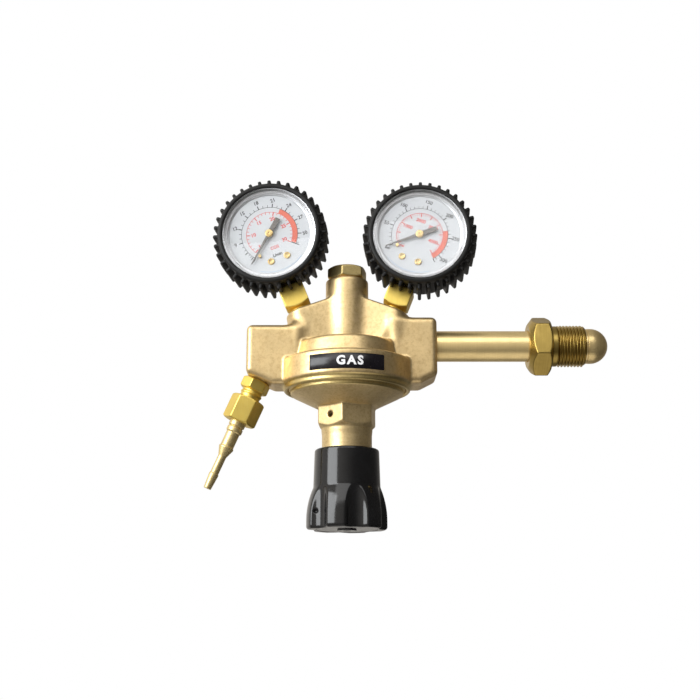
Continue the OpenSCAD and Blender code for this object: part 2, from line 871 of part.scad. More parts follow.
gauge_boot(-1);  // flow_boot
gauge_case(-1);  // flow_case
gauge_lens(-1);  // flow_lens
gauge_dial(-1);  // flow_dial
gauge_dial_screws(-1);  // flow_dial_screws
gauge_stop_pin(-1);  // flow_stop_pin
gauge_pointer(-1);  // flow_pointer
gauge_pointer_cap(-1);  // flow_pointer_cap
gauge_stem(-1);  // flow_stem
gauge_bourdon_tube(-1);  // flow_bourdon_tube
gauge_movement_plates(-1);  // flow_movement_plates
gauge_pinion(-1);  // flow_pinion
gauge_sector_gear(-1);  // flow_sector_gear
gauge_link(-1);  // flow_link
gauge_hairspring(-1);  // flow_hairspring

gauge_boot(1);  // cylinder_boot
gauge_case(1);  // cylinder_case
gauge_lens(1);  // cylinder_lens
gauge_dial(1);  // cylinder_dial
gauge_dial_screws(1);  // cylinder_dial_screws
gauge_stop_pin(1);  // cylinder_stop_pin
gauge_pointer(1);  // cylinder_pointer
gauge_pointer_cap(1);  // cylinder_pointer_cap
gauge_stem(1);  // cylinder_stem
gauge_bourdon_tube(1);  // cylinder_bourdon_tube
gauge_movement_plates(1);  // cylinder_movement_plates
gauge_pinion(1);  // cylinder_pinion
gauge_sector_gear(1);  // cylinder_sector_gear
gauge_link(1);  // cylinder_link
gauge_hairspring(1);  // cylinder_hairspring
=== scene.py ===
import functools
import itertools
import json
import math

import bmesh
import bpy
import numpy as np
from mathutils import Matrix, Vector

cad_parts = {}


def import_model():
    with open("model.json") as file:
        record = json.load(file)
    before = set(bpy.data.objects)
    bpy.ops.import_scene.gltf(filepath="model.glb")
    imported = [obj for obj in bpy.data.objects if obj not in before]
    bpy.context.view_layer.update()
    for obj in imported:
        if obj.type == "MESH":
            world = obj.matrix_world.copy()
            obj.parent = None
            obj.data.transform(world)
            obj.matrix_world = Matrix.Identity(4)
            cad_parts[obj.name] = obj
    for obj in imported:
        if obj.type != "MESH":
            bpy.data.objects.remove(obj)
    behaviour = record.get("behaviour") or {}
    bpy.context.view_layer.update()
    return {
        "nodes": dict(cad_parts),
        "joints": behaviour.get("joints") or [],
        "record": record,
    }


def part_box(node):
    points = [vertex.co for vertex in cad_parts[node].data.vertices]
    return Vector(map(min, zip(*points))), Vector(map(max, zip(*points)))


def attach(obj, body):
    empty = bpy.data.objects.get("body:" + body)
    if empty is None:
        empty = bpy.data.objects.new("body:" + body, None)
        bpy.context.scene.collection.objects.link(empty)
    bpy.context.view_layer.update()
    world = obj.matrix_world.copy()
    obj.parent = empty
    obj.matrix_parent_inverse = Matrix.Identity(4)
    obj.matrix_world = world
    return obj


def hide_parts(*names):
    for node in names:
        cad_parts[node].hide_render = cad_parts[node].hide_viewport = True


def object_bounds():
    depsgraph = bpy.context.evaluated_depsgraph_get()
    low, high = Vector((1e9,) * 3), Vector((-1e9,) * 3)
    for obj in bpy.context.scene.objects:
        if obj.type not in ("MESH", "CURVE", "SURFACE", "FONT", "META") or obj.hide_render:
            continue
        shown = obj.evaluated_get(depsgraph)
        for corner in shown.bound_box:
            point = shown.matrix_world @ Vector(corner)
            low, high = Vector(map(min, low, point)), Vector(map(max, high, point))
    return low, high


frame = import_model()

MM = 0.001

# ---------------- sizes, in millimetres

# Body forging
BOSS_R = 11.9
BOSS_TOP = 37.6
FLANGE_R = 36.3
FLANGE_TOP = -9.2
FLANGE_BOTTOM = -26.2
STEP_R = 34.8
STEP_Z = -23.2
RING_R = 27.6
RING_FOOT_R = 29.3
RING_TOP = 0.6
WEB_R = 8.9
WEB_REACH = 16.0
WEB_DEPTH = 40.0
WEB_ROUND = 0.77
ARM_HALF = 12.5
ARM_EDGE = 3.0
ARM_ROOT = 25.0
INLET_ARM = 49.2
INLET_ARM_TOP = 14.0
INLET_ARM_LOW = -23.0
INLET_ARM_CUT = (40.0, -18.2)
OUTLET_ARM = 54.9
OUTLET_ARM_TOP = 9.7
OUTLET_ARM_LOW = -23.5
# Bores of the forging; every cut is drawn PAST its mouth
PAST = 3.0
BORE_R = 32.35
BORE_TOP = -12.0
DIAPHRAGM_ROOM_R = 24.0
CHAMBER_R = 7.0
CHAMBER_LOW = -4.0
CHAMBER_TOP = 28.0
SEAT_BORE_R = 4.0
PLUG_BORE_R = 8.05
PORT_BORE_R = 4.85
PORT_BORE_END = -10.0
INLET_BORE_R = 7.45
INLET_BORE_LEN = 13.2
# Plug
PLUG_AF = 19.7
PLUG_TURN = -103.8
PLUG_HEX = 6.9
PLUG_R = 8.0
PLUG_FOOT = 24.0
SEAL_R = 9.7
SEAL_T = 0.5
# Gauges: heights from the pointer's axis to the viewer, angles clockwise from twelve
STEM_LEN = {"flow": 43.6, "cylinder": 42.25}
BOOT_R = 28.7
WAIST_R = 27.5
RIB_R = 31.8
RIB_COUNT = 36
RIB_BACK = -4.4
RIB_FRONT = 16.8
RIB_HALF = 1.02
RING_FRONT = 20.6
BOOT_BACK = -9.2
DISH_R = 18.0
CASE_R = 26.6
LENS_BORE_R = 25.9
LENS_BACK = 18.7
LENS_FRONT = 19.8
DIAL_FACE = 15.9
POINTER_Z = 17.2
ANCHOR_Z = 10
STEM_AF = 14.0
STEM_BORE_R = 1.2
REST = 230.0
SWEEP = 262.0
# Bonnet and knob
BONNET_TOP = -14.7
BONNET_R = 32.3
BONNET_AF = 29.2
BONNET_HEX_TOP = -30.0
BONNET_HEX_LOW = -46.2
BONNET_TURN = -98.6
LIP_R = 31.0
LIP_Z = -27.8
CONE_FOOT_R = 17.0
COLLAR_R = 13.9
NECK_R = 13.6
NECK_BOTTOM = -66.0
SPRING_ROOM_R = 11.0
SCREW_HOLE_R = 3.5
VENT_R = 1.65
VENT_Z = -40.0
VENT_TURN = -128.6
KNOB_R = 17.5
SKIRT_FOOT_R = 18.1
LOBE_R = 21.8
LOBE_COUNT = 6
LOBE_TURN = -45.5
FLUTE_R = 7.5
FLUTE_DEPTH = 0.1
KNOB_TOP = -58.0
FLARE_TOP = -78.5
FLARE_FOOT = -96.0
KNOB_BOTTOM = -101.0
KNOB_BORE_R = 15.0
INSERT_R = 7.0
END_PLATE_R = 16.41
PIP = (-16.4, -10.3, -92.0)
PIP_R = 1.15
# Inlet, along the inlet axis
STEM_R = 8.5
NUT_BORE_R = 8.55
NUT_AF = 29.4
NUT_HEX = 12.45
NUT_TURN = -4.0
NUT_COLLAR = 3.35
PITCH = 25.4 / 14
THREAD_DEPTH = 0.64 * PITCH
NOSE_R = 9.7
NOSE_BORE_R = 2.2
# Outlet, from its seat on the arm
OUTLET_LEN = 64.8
ADAPTOR_AF = 14.0
ADAPTOR_HEX = 6.4
ADAPTOR_TURN = -19.0
ADAPTOR_BORE_R = 1.8
OUTLET_NUT_AF = 16.5
OUTLET_NUT_TURN = -4.5
NUT_FROM = 11.2
NUT_TO = NUT_FROM + 14.2
TAIL_FROM = 18.2


# ---------------- places

def unit(v):
    v = np.asarray(v, float)
    return v / np.linalg.norm(v)


class Place:
    """A drawing frame in millimetres, placed in the CAD frame; the rows of turn are its axes."""

    def __init__(self, origin, x, y, z):
        self.origin = np.asarray(origin, float)
        self.turn = np.array([x, y, z], float)

    def __call__(self, points):
        return self.origin + np.asarray(points, float) @ self.turn * MM


def box_middle(node):
    low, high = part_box(node)
    return (low + high) / 2


def named(rows, name):
    return next(row for row in rows if row["name"] == name)


RECORD = frame["record"]
AXIS_X = box_middle("top_plug").x
MAIN = Place((AXIS_X, 0, 0), (1, 0, 0), (0, 1, 0), (0, 0, 1))
INLET = Place((AXIS_X, 0, 0), (0, 0, -1), (0, 1, 0), (1, 0, 0))

thread = named(RECORD["mounts"], "inlet_thread")
THREAD_MID = -AXIS_X / MM
THREAD_LEN = thread["dims"]["length_mm"]
THREAD_R = thread["dims"]["r_mm"]

tail = named(RECORD["mounts"], "hose_tail")
OUTLET_DIR = unit(tail["axis"])
OUTLET = Place(np.array(tail["pos_m"]) - OUTLET_DIR * OUTLET_LEN * MM,
               (OUTLET_DIR[2], 0, -OUTLET_DIR[0]), (0, 1, 0), OUTLET_DIR)


def gauge_place(gauge):
    """x right, y towards twelve, z to the viewer, with the origin on the pointer's axis."""
    turn = named(frame["joints"], gauge + "_pointer_turn")
    sector = named(frame["joints"], gauge + "_sector_swing")
    z = -unit(turn["axis"])
    up = np.array(turn["pos_m"]) - np.array(sector["pos_m"])
    y = unit(up - z * (up @ z))
    origin = np.array(turn["pos_m"]) - z * ANCHOR_Z * MM
    return Place(origin, np.cross(y, z), y, z)


GAUGES = {"flow": gauge_place("flow"), "cylinder": gauge_place("cylinder")}


def port_place(gauge):
    """A gauge port: z out along the stem, y like the main frame's."""
    dial = GAUGES[gauge]
    z = dial.turn[1]
    origin = dial.origin - z * STEM_LEN[gauge] * MM
    x = unit(np.cross((0, 1, 0), z))
    return Place(origin, x, (0, 1, 0), z)


PORTS = {gauge: port_place(gauge) for gauge in GAUGES}


# ---------------- solids by distance field

def smooth_min(a, b, k):
    h = np.clip(0.5 + 0.5 * (b - a) / k, 0, 1)
    return b * (1 - h) + a * h - k * h * (1 - h)


def smooth_max(a, b, k):
    return -smooth_min(-a, -b, k)


def union(*fields):
    return functools.reduce(np.minimum, fields)


def cuboid(p, middle, half):
    return -union(*(h - np.abs(c - m) for c, m, h in zip(p, middle, half)))


def extruded(flat, high, edge):
    """Distance to a shape given by its flat distance and its distance past the end faces."""
    flat = flat + edge
    high = high + edge
    outside = np.hypot(np.maximum(flat, 0), np.maximum(high, 0))
    return outside + np.minimum(np.maximum(flat, high), 0) - edge


def rod(p, r, z0, z1, edge=0.0):
    x, y, z = p
    return extruded(np.hypot(x, y) - r, np.abs(z - (z0 + z1) / 2) - (z1 - z0) / 2, edge)


def outline(u, v, corners):
    """Signed distance to a closed outline."""
    corners = np.asarray(corners, float)
    best = np.inf
    inside = False
    for a, b in zip(corners, np.roll(corners, -1, 0)):
        e = b - a
        wu = u - a[0]
        wv = v - a[1]
        t = np.clip((wu * e[0] + wv * e[1]) / (e @ e), 0, 1)
        best = np.minimum(best, (wu - e[0] * t) ** 2 + (wv - e[1] * t) ** 2)
        if e[1] != 0:
            spans = ((a[1] <= v) & (v < b[1])) | ((b[1] <= v) & (v < a[1]))
            inside = inside ^ (spans & (u < a[0] + e[0] * (v - a[1]) / e[1]))
    return np.where(inside, -np.sqrt(best), np.sqrt(best))


def lathe_field(p, corners):
    """Signed distance to a turned shape about z, through a table over radius and height."""
    x, y, z = p
    fine = 0.1
    radius = np.hypot(x, y)[:, :, 0]
    steps = np.arange(0, radius.max() + 2 * fine, fine)
    table = outline(steps[:, None], z[0, 0, :][None, :], corners).astype(np.float32)
    at = radius / fine
    low = np.floor(at).astype(int)
    part = (at - low)[:, :, None].astype(np.float32)
    return table[low] * (1 - part) + table[low + 1] * part


def hex_bar(p, af, turn, z0, z1, start_r, end_r, slope):
    """Hexagon bar whose ends are chamfered from those radii, if given; slope is in degrees."""
    x, y, z = p
    d = np.maximum(z0 - z, z - z1)
    for i in range(3):
        a = math.radians(turn + 30 + 60 * i)
        d = np.maximum(d, np.abs(x * math.cos(a) + y * math.sin(a)) - af / 2)
    radius = np.hypot(x, y)
    across, along = math.sin(math.radians(slope)), math.cos(math.radians(slope))
    if end_r:
        d = np.maximum(d, (radius - end_r) * across + (z - z1) * along)
    if start_r:
        d = np.maximum(d, (radius - start_r) * across + (z0 - z) * along)
    return d


def sample(arrays, points):
    """Values of grid arrays between their grid points."""
    low = np.clip(np.floor(points).astype(int), 0, np.array(arrays[0].shape) - 2)
    part = points - low
    result = []
    for array in arrays:
        total = 0
        for corner in itertools.product((0, 1), repeat=3):
            weight = np.abs(1 - np.array(corner) - part).prod(1)
            total = total + weight * array[tuple((low + corner).T)]
        result.append(total)
    return result


def soften(field, passes):
    """Rounds every edge of a field by a few steps of its grid."""
    for _ in range(passes):
        for axis in range(3):
            f = np.moveaxis(field, axis, 0)
            middle = (f[:-2] + 2 * f[1:-1] + f[2:]) / 4
            field = np.moveaxis(np.concatenate([f[:1], middle, f[-1:]]), 0, axis)
    return field


def surface(field):
    """Closed quad mesh of field = 0 by surface nets, in grid steps."""
    inside = field < 0
    size = np.array(inside.shape)
    count = np.zeros(size - 1, np.int8)
    for i, j, k in itertools.product((0, 1), repeat=3):
        count += inside[i:size[0] - 1 + i, j:size[1] - 1 + j, k:size[2] - 1 + k]
    cells = np.argwhere((count > 0) & (count < 8))
    number = np.full(count.shape, -1, np.int64)
    number[tuple(cells.T)] = np.arange(len(cells))
    total = np.zeros((len(cells), 3))
    hits = np.zeros(len(cells))
    quads = []
    for axis in range(3):
        u, v = (axis + 1) % 3, (axis + 2) % 3
        for du, dv in itertools.product((0, 1), repeat=2):
            a = cells.copy()
            a[:, u] += du
            a[:, v] += dv
            b = a.copy()
            b[:, axis] += 1
            fa, fb = field[tuple(a.T)], field[tuple(b.T)]
            cut = (fa < 0) != (fb < 0)
            point = a.astype(float)
            point[:, axis] += np.where(cut, fa / np.where(cut, fa - fb, 1), 0)
            total += point * cut[:, None]
            hits += cut
        ahead = np.roll(inside, -1, axis)
        crossing = inside != ahead
        places = np.argwhere(crossing)
        keep = (places[:, axis] < size[axis] - 1)
        for w in (u, v):
            keep &= (places[:, w] > 0) & (places[:, w] < size[w] - 1)
        places = places[keep]
        corner = []
        for du, dv in ((1, 1), (0, 1), (0, 0), (1, 0)):
            c = places.copy()
            c[:, u] -= du
            c[:, v] -= dv
            corner.append(number[tuple(c.T)])
        ring = np.stack(corner, 1)
        outward = inside[tuple(places.T)]
        ring[~outward] = ring[~outward][:, ::-1]
        quads.append(ring)
    points = total / hits[:, None]
    slopes = np.gradient(field)
    for _ in range(3):
        value, *slope = sample([field, *slopes], points)
        slope = np.stack(slope, 1)
        move = slope * (value / np.maximum((slope ** 2).sum(1), 1e-6))[:, None]
        points -= np.clip(move, -0.5, 0.5)
    return points, np.concatenate(quads).tolist()


def solid(field_of, low, high, step, rounds):
    """Mesh of a distance field between two corners."""
    axes = [np.arange(a, b + step, step) for a, b in zip(low, high)]
    p = np.meshgrid(*axes, indexing="ij", sparse=True)
    field = np.broadcast_to(field_of(p), [len(a) for a in axes]).astype(np.float32)
    points, quads = surface(soften(field, rounds))
    return np.asarray(low) + points * step, quads


def round_solid(field_of, reach, z0, z1, step, rounds=1):
    """Mesh of a distance field about z, within that reach to each side."""
    return solid(field_of, (-reach, -reach, z0), (reach, reach, z1), step, rounds)


def turned(p, place, frame_of):
    """Grid coordinates seen in another place's frame."""
    x, y, z = p
    shift = (place.origin - frame_of.origin) / MM
    turn = place.turn @ frame_of.turn.T
    offset = frame_of.turn @ shift
    q = [x - offset[0], y - offset[1], z - offset[2]]
    return [a * q[0] + b * q[1] + c * q[2] for a, b, c in turn]


# ---------------- solids by outline

def rounded(corners, radius):
    """An open outline with its inner corners turned into arcs of three steps."""
    corners = [np.asarray(c, float) for c in corners]
    result = [corners[0]]
    for before, here, after in zip(corners, corners[1:], corners[2:]):
        back, ahead = before - here, after - here
        reach = min(radius, 0.45 * np.linalg.norm(back), 0.45 * np.linalg.norm(ahead))
        a = here + unit(back) * reach
        b = here + unit(ahead) * reach
        for t in (0, 1 / 3, 2 / 3, 1):
            result.append((1 - t) ** 2 * a + 2 * t * (1 - t) * here + t * t * b)
    result.append(corners[-1])
    return result


def arc_points(cx, cy, r, start, end, steps):
    """Points of an arc between two angles in degrees."""
    angles = [math.radians(start + (end - start) * i / steps) for i in range(steps + 1)]
    return [(cx + r * math.cos(a), cy + r * math.sin(a)) for a in angles]


def circle(r, z, sides):
    angles = [2 * math.pi * i / sides for i in range(sides)]
    return [(r * math.cos(a), r * math.sin(a), z) for a in angles]


def strips(pairs, sides):
    """Quads between pairs of rings, each of that many points."""
    faces = []
    for a, b in pairs:
        for i in range(sides):
            j = (i + 1) % sides
            faces.append([a * sides + i, a * sides + j, b * sides + j, b * sides + i])
    return faces


def loop(count):
    return [(k, (k + 1) % count) for k in range(count)]


def lathe(profile, sides=96):
    """Closed turned mesh about z; the profile runs from the axis to the axis."""
    points = []
    rings = []
    for r, z in profile:
        ring = [(0, 0, z)] if r < 1e-6 else circle(r, z, sides)
        rings.append(range(len(points), len(points) + len(ring)))
        points += ring
    faces = []
    for a, b in zip(rings, rings[1:]):
        for i in range(sides):
            j = (i + 1) % sides
            quad = dict.fromkeys([a[i % len(a)], a[j % len(a)], b[j % len(b)], b[i % len(b)]])
            if len(quad) > 2:
                faces.append(list(quad))
    return points, faces


def closed_lathe(profile, sides=96):
    """Closed turned mesh about z of a ring section, whose profile is a loop off the axis."""
    points = []
    for r, z in profile:
        points += circle(r, z, sides)
    return points, strips(loop(len(profile)), sides)


def bisectors(corners):
    """At each corner of an outline, the direction inwards and its share across the edge before."""
    before = corners - np.roll(corners, 1, 0)
    after = np.roll(corners, -1, 0) - corners
    result = []
    for a, b in zip(before, after):
        normal = unit((-a[1], a[0]))
        inward = unit(normal + unit((-b[1], b[0])))
        result.append((inward, inward @ normal))
    return result


def slab(corners, z0, z1, bevel=0.0):
    """Plate with that outline, anticlockwise, between two levels, its upper edge bevelled."""
    corners = np.asarray(corners, float)
    count = len(corners)
    levels = [(z0, 0), (z1 - bevel, 0), (z1, bevel)] if bevel else [(z0, 0), (z1, 0)]
    inwards = [inward for inward, _ in bisectors(corners)]
    points = []
    for z, inset in levels:
        points += [(*(c + inward * inset), z) for c, inward in zip(corners, inwards)]
    last = len(levels) - 1
    ends = [list(range(count))[::-1], [last * count + i for i in range(count)]]
    return points, ends[:1] + strips([(k, k + 1) for k in range(last)], count) + ends[1:]


def joined(parts):
    points = []
    faces = []
    for part_points, part_faces in parts:
        start = len(points)
        points.extend([tuple(p) for p in part_points])
        faces.extend([[start + i for i in f] for f in part_faces])
    return points, faces


# ---------------- pieces

def piece(name, shape, place, slot, body, replaces=(), sharp=None):
    """A finished piece: its mesh drawn in a place, its material slot and the body it rides."""
    points, faces = shape
    mesh = bpy.data.meshes.new(name)
    mesh.from_pydata(place(points).tolist(), [], faces)
    mesh.validate()
    mesh.shade_smooth()
    if sharp is not None:
        mesh.set_sharp_from_angle(angle=math.radians(sharp))
    item = bpy.data.objects.new(name, mesh)
    bpy.context.scene.collection.objects.link(item)
    mesh.materials.append(MATERIALS[slot])
    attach(item, body)
    if replaces:
        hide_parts(*replaces)
    return item


# ---------------- materials

MATERIALS = {}


class Nodes:
    """Short calls for a material's node tree; the material is filed under its name."""

    def __init__(self, name):
        self.material = bpy.data.materials.new(name)
        MATERIALS[name] = self.material
        self.material.use_nodes = True
        self.tree = self.material.node_tree
        self.tree.nodes.clear()
        self.out = self.tree.nodes.new("ShaderNodeOutputMaterial")
        self.shader = self.tree.nodes.new("ShaderNodeBsdfPrincipled")
        self.link(self.shader.outputs["BSDF"], self.out.inputs["Surface"])
        self.coordinates = self.tree.nodes.new("ShaderNodeTexCoord").outputs["Object"]

    def link(self, a, b):
        self.tree.links.new(a, b)

    def scaled(self, scale):
        node = self.tree.nodes.new("ShaderNodeMapping")
        node.inputs["Scale"].default_value = scale
        self.link(self.coordinates, node.inputs["Vector"])
        return node.outputs["Vector"]

    def noise(self, size_mm, detail, rough, stretch=(1, 1, 1)):
        """Noise whose features are about that size; stretch makes them longer on an axis."""
        scale = [1000 / size_mm / s for s in stretch]
        node = self.tree.nodes.new("ShaderNodeTexNoise")
        node.inputs["Scale"].default_value = 1.0
        node.inputs["Detail"].default_value = detail
        node.inputs["Roughness"].default_value = rough
        self.link(self.scaled(scale), node.inputs["Vector"])
        return node.outputs["Fac"]

    def ramp(self, value, low, high, start, end):
        """Value from low..high to start..end."""
        node = self.tree.nodes.new("ShaderNodeMapRange")
        node.inputs["From Min"].default_value = low
        node.inputs["From Max"].default_value = high
        node.inputs["To Min"].default_value = start
        node.inputs["To Max"].default_value = end
        self.link(value, node.inputs["Value"])
        return node.outputs["Result"]

    def mix(self, factor, a, b):
        node = self.tree.nodes.new("ShaderNodeMix")
        node.data_type = "RGBA"
        self.link(factor, node.inputs["Factor"])
        for socket, value in ((node.inputs["A"], a), (node.inputs["B"], b)):
            if isinstance(value, tuple):
                socket.default_value = (*value, 1)
            else:
                self.link(value, socket)
        return node.outputs["Result"]

    def bump(self, height, strength, depth_mm):
        node = self.tree.nodes.new("ShaderNodeBump")
        node.inputs["Strength"].default_value = strength
        node.inputs["Distance"].default_value = depth_mm * MM
        self.link(height, node.inputs["Height"])
        self.link(node.outputs["Normal"], self.shader.inputs["Normal"])

    def set(self, **values):
        for key, value in values.items():
            self.shader.inputs[key.replace("_", " ")].default_value = value


def shade(color, factor):
    return tuple(c * factor for c in color)


def metal(name, color, dark, rough, grain=None, brushed=None, metallic=1.0):
    """Metal with tone patches; grain is (size in mm, strength) and brushed (stretch, strength)."""
    n = Nodes(name)
    n.set(Metallic=metallic)
    patches = n.ramp(n.noise(14, 4, 0.6), 0.35, 0.68, 0, 1)
    tone = n.mix(patches, color, shade(color, 0.82))
    if grain:
        size, strength = grain
        spots = n.ramp(n.noise(size * 2.2, 6, 0.75), 0.46, 0.74, 0, 0.75)
        tone = n.mix(spots, tone, dark)
        n.bump(n.noise(size, 6, 0.7), strength, 0.12)
    if brushed:
        stretch, strength = brushed
        lines = n.noise(0.5, 3, 0.6, stretch)
        tone = n.mix(n.ramp(lines, 0.4, 0.72, 0, 0.5), tone, dark)
        n.bump(lines, strength, 0.05)
    n.link(tone, n.shader.inputs["Base Color"])
    n.link(n.ramp(n.noise(3.5, 4, 0.6), 0.3, 0.7, *rough), n.shader.inputs["Roughness"])
    return n.material


def plastic(name, color, rough, tint=None, grain=None, gloss=0.5):
    """Plastic, rubber or paint with faint patches of a tint."""
    n = Nodes(name)
    patches = n.ramp(n.noise(9, 4, 0.6), 0.4, 0.7, 0, 1)
    n.link(n.mix(patches, color, tint or shade(color, 1.5)), n.shader.inputs["Base Color"])
    n.link(n.ramp(n.noise(2.5, 5, 0.7), 0.35, 0.7, *rough), n.shader.inputs["Roughness"])
    n.set(Specular_IOR_Level=gloss)
    if grain:
        size, strength = grain
        n.bump(n.noise(size, 4, 0.6), strength, 0.08)
    return n.material


def clear(name):
    n = Nodes(name)
    n.set(Base_Color=(1, 1, 1, 1), Transmission_Weight=1.0, IOR=1.45)
    n.link(n.ramp(n.noise(6, 3, 0.5), 0.4, 0.8, 0.0, 0.03), n.shader.inputs["Roughness"])
    return n.material


AROUND_X = (0.35, 40, 40)
ALONG_Z = (1, 1, 14)
metal("forging_brass", (0.82, 0.62, 0.32), (0.46, 0.30, 0.12), (0.32, 0.46), (0.9, 0.5), metallic=0.88)
metal("bonnet_brass", (0.79, 0.61, 0.32), (0.44, 0.30, 0.12), (0.36, 0.46), (0.6, 0.34), metallic=0.88)
metal("machined_brass", (0.80, 0.63, 0.28), (0.50, 0.36, 0.14), (0.34, 0.42), (0.4, 0.04))
metal("nut_brass", (0.50, 0.36, 0.10), (0.30, 0.19, 0.05), (0.27, 0.38), brushed=(AROUND_X, 0.12))
metal("tube_brass", (0.98, 0.76, 0.37), (0.78, 0.58, 0.26), (0.28, 0.36), brushed=(AROUND_X, 0.12),
      metallic=0.86)
metal("fitting_brass", (0.96, 0.73, 0.19), (0.84, 0.60, 0.11), (0.36, 0.44), brushed=(ALONG_Z, 0.03))
metal("tail_brass", (0.80, 0.64, 0.31), (0.66, 0.50, 0.22), (0.34, 0.42), (0.4, 0.03), metallic=0.85)
metal("movement_brass", (0.72, 0.54, 0.24), (0.4, 0.27, 0.1), (0.2, 0.34), (0.3, 0.05))
metal("copper_seal", (0.60, 0.38, 0.20), (0.28, 0.14, 0.07), (0.3, 0.45), (0.5, 0.1))
metal("sintered_bronze", (0.42, 0.28, 0.14), (0.14, 0.08, 0.04), (0.5, 0.7), (0.25, 0.9))
metal("bourdon_bronze", (0.58, 0.36, 0.18), (0.3, 0.16, 0.08), (0.25, 0.4), (0.5, 0.1))
metal("spring_steel", (0.48, 0.49, 0.51), (0.34, 0.34, 0.35), (0.32, 0.42), (0.4, 0.03))
plastic("knob_plastic", (0.006, 0.006, 0.0065), (0.10, 0.17), grain=(3.0, 0.03))
plastic("end_plate_plastic", (0.006, 0.006, 0.0065), (0.12, 0.24), grain=(2.0, 0.05))
plastic("seat_plastic", (0.80, 0.79, 0.74), (0.4, 0.55))
plastic("diaphragm_rubber", (0.02, 0.02, 0.02), (0.6, 0.8), grain=(0.4, 0.3))
plastic("label_black", (0.005, 0.004, 0.006), (0.18, 0.3))
plastic("label_white", (0.85, 0.85, 0.86), (0.25, 0.4), (0.78, 0.79, 0.82))
plastic("boot_rubber", (0.007, 0.007, 0.007), (0.42, 0.58), grain=(0.35, 0.12), gloss=0.3)
plastic("case_steel", (0.015, 0.015, 0.016), (0.3, 0.45), grain=(0.6, 0.1))
clear("lens_plastic")
plastic("dial_white", (0.40, 0.415, 0.43), (0.3, 0.4), (0.385, 0.40, 0.42))
plastic("dial_black", (0.012, 0.012, 0.014), (0.4, 0.5))
plastic("dial_red", (0.50, 0.035, 0.025), (0.4, 0.5), (0.44, 0.03, 0.02))
plastic("dial_band", (0.50, 0.10, 0.06), (0.4, 0.5), (0.46, 0.09, 0.055))
plastic("dial_blue", (0.14, 0.30, 0.52), (0.4, 0.5), (0.12, 0.26, 0.48))
plastic("pointer_paint", (0.085, 0.078, 0.070), (0.35, 0.5), (0.11, 0.10, 0.09))

for subpart in RECORD["subparts"]:
    node = frame["nodes"][subpart["node"]]
    node.data.materials.clear()
    node.data.materials.append(MATERIALS[subpart["material_slot"]])


# ---------------- body forging

def paint(item, slot, test):
    """Gives the faces whose middle passes the test a second material."""
    item.data.materials.append(MATERIALS[slot])
    middles = np.zeros(len(item.data.polygons) * 3)
    item.data.polygons.foreach_get("center", middles)
    chosen = test(middles.reshape(-1, 3) / MM)
    item.data.polygons.foreach_set("material_index", chosen.astype(np.int32))


def arm_field(p, corners):
    """An arm from its front outline, with every edge rounded."""
    x, y, z = p
    corners = np.asarray(corners, float)
    inner = [c + inward * ARM_EDGE / share for c, (inward, share) in zip(corners, bisectors(corners))]
    return extruded(outline(x, z, inner) - ARM_EDGE, np.abs(y) - ARM_HALF, ARM_EDGE)


def arms_field(p):
    """Both arms; the end of the outlet arm is cut square to the outlet's axis."""
    out = OUTLET_DIR[[0, 2]]
    seat = (OUTLET.origin[[0, 2]] - MAIN.origin[[0, 2]]) / MM
    across = np.array([out[1], -out[0]])
    slope_top = seat + across * ((-OUTLET_ARM - seat[0]) / across[0])
    slope_low = seat + across * ((OUTLET_ARM_LOW - seat[1]) / across[1])
    outlet_arm = arm_field(p, [
        (-OUTLET_ARM, OUTLET_ARM_TOP), slope_top, slope_low, (-ARM_ROOT, OUTLET_ARM_LOW),
        (-ARM_ROOT, OUTLET_ARM_TOP)])
    foot, corner = INLET_ARM_CUT
    inlet_arm = arm_field(p, [
        (INLET_ARM, corner), (INLET_ARM, INLET_ARM_TOP), (ARM_ROOT, INLET_ARM_TOP),
        (ARM_ROOT, INLET_ARM_LOW), (foot, INLET_ARM_LOW)])
    return np.minimum(outlet_arm, inlet_arm)


def web_field(p, place, side):
    """The web under a gauge port: a slab with round ends in the port's frame."""
    x, y, z = turned(p, place, MAIN)
    reach = -side * WEB_REACH
    along = np.clip(x / reach, 0, 1)
    flat = np.hypot(x - along * reach, y * (WEB_ROUND + (1 - WEB_ROUND) * along)) - WEB_R
    return extruded(flat, np.abs(z + WEB_DEPTH / 2) - WEB_DEPTH / 2, 1.2)


def flange_field(p):
    return lathe_field(p, [
        (0, FLANGE_BOTTOM), (STEP_R - 0.5, FLANGE_BOTTOM), (STEP_R, FLANGE_BOTTOM + 0.5), (STEP_R, STEP_Z),
        (FLANGE_R - 0.3, STEP_Z + 0.4), (FLANGE_R, STEP_Z + 0.9),
        (FLANGE_R, FLANGE_TOP - 1.1), (FLANGE_R - 1.1, FLANGE_TOP), (0, FLANGE_TOP)])


def body_bores(p):
    """All that is drilled or turned out of the forging."""
    x, y, z = p
    mouth = np.hypot(x, y) - BORE_R - 0.7 + np.maximum(z - FLANGE_BOTTOM, -2) * 0.9
    bores = [
        rod(p, BORE_R, FLANGE_BOTTOM - PAST, BORE_TOP),
        np.maximum(mouth, z - FLANGE_BOTTOM - 0.8),
        rod(p, DIAPHRAGM_ROOM_R, BORE_TOP - 2, BORE_TOP + 3),
        rod(p, SEAT_BORE_R, BORE_TOP + 2, CHAMBER_LOW + 1),
        rod(p, CHAMBER_R, CHAMBER_LOW, CHAMBER_TOP),
        rod(p, PLUG_BORE_R, PLUG_FOOT, BOSS_TOP + PAST),
        rod(turned(p, INLET, MAIN), INLET_BORE_R, INLET_ARM - INLET_BORE_LEN, INLET_ARM + PAST)]
    for place in (OUTLET, *PORTS.values()):
        bores.append(rod(turned(p, place, MAIN), PORT_BORE_R, PORT_BORE_END, PAST))
    return union(*bores)


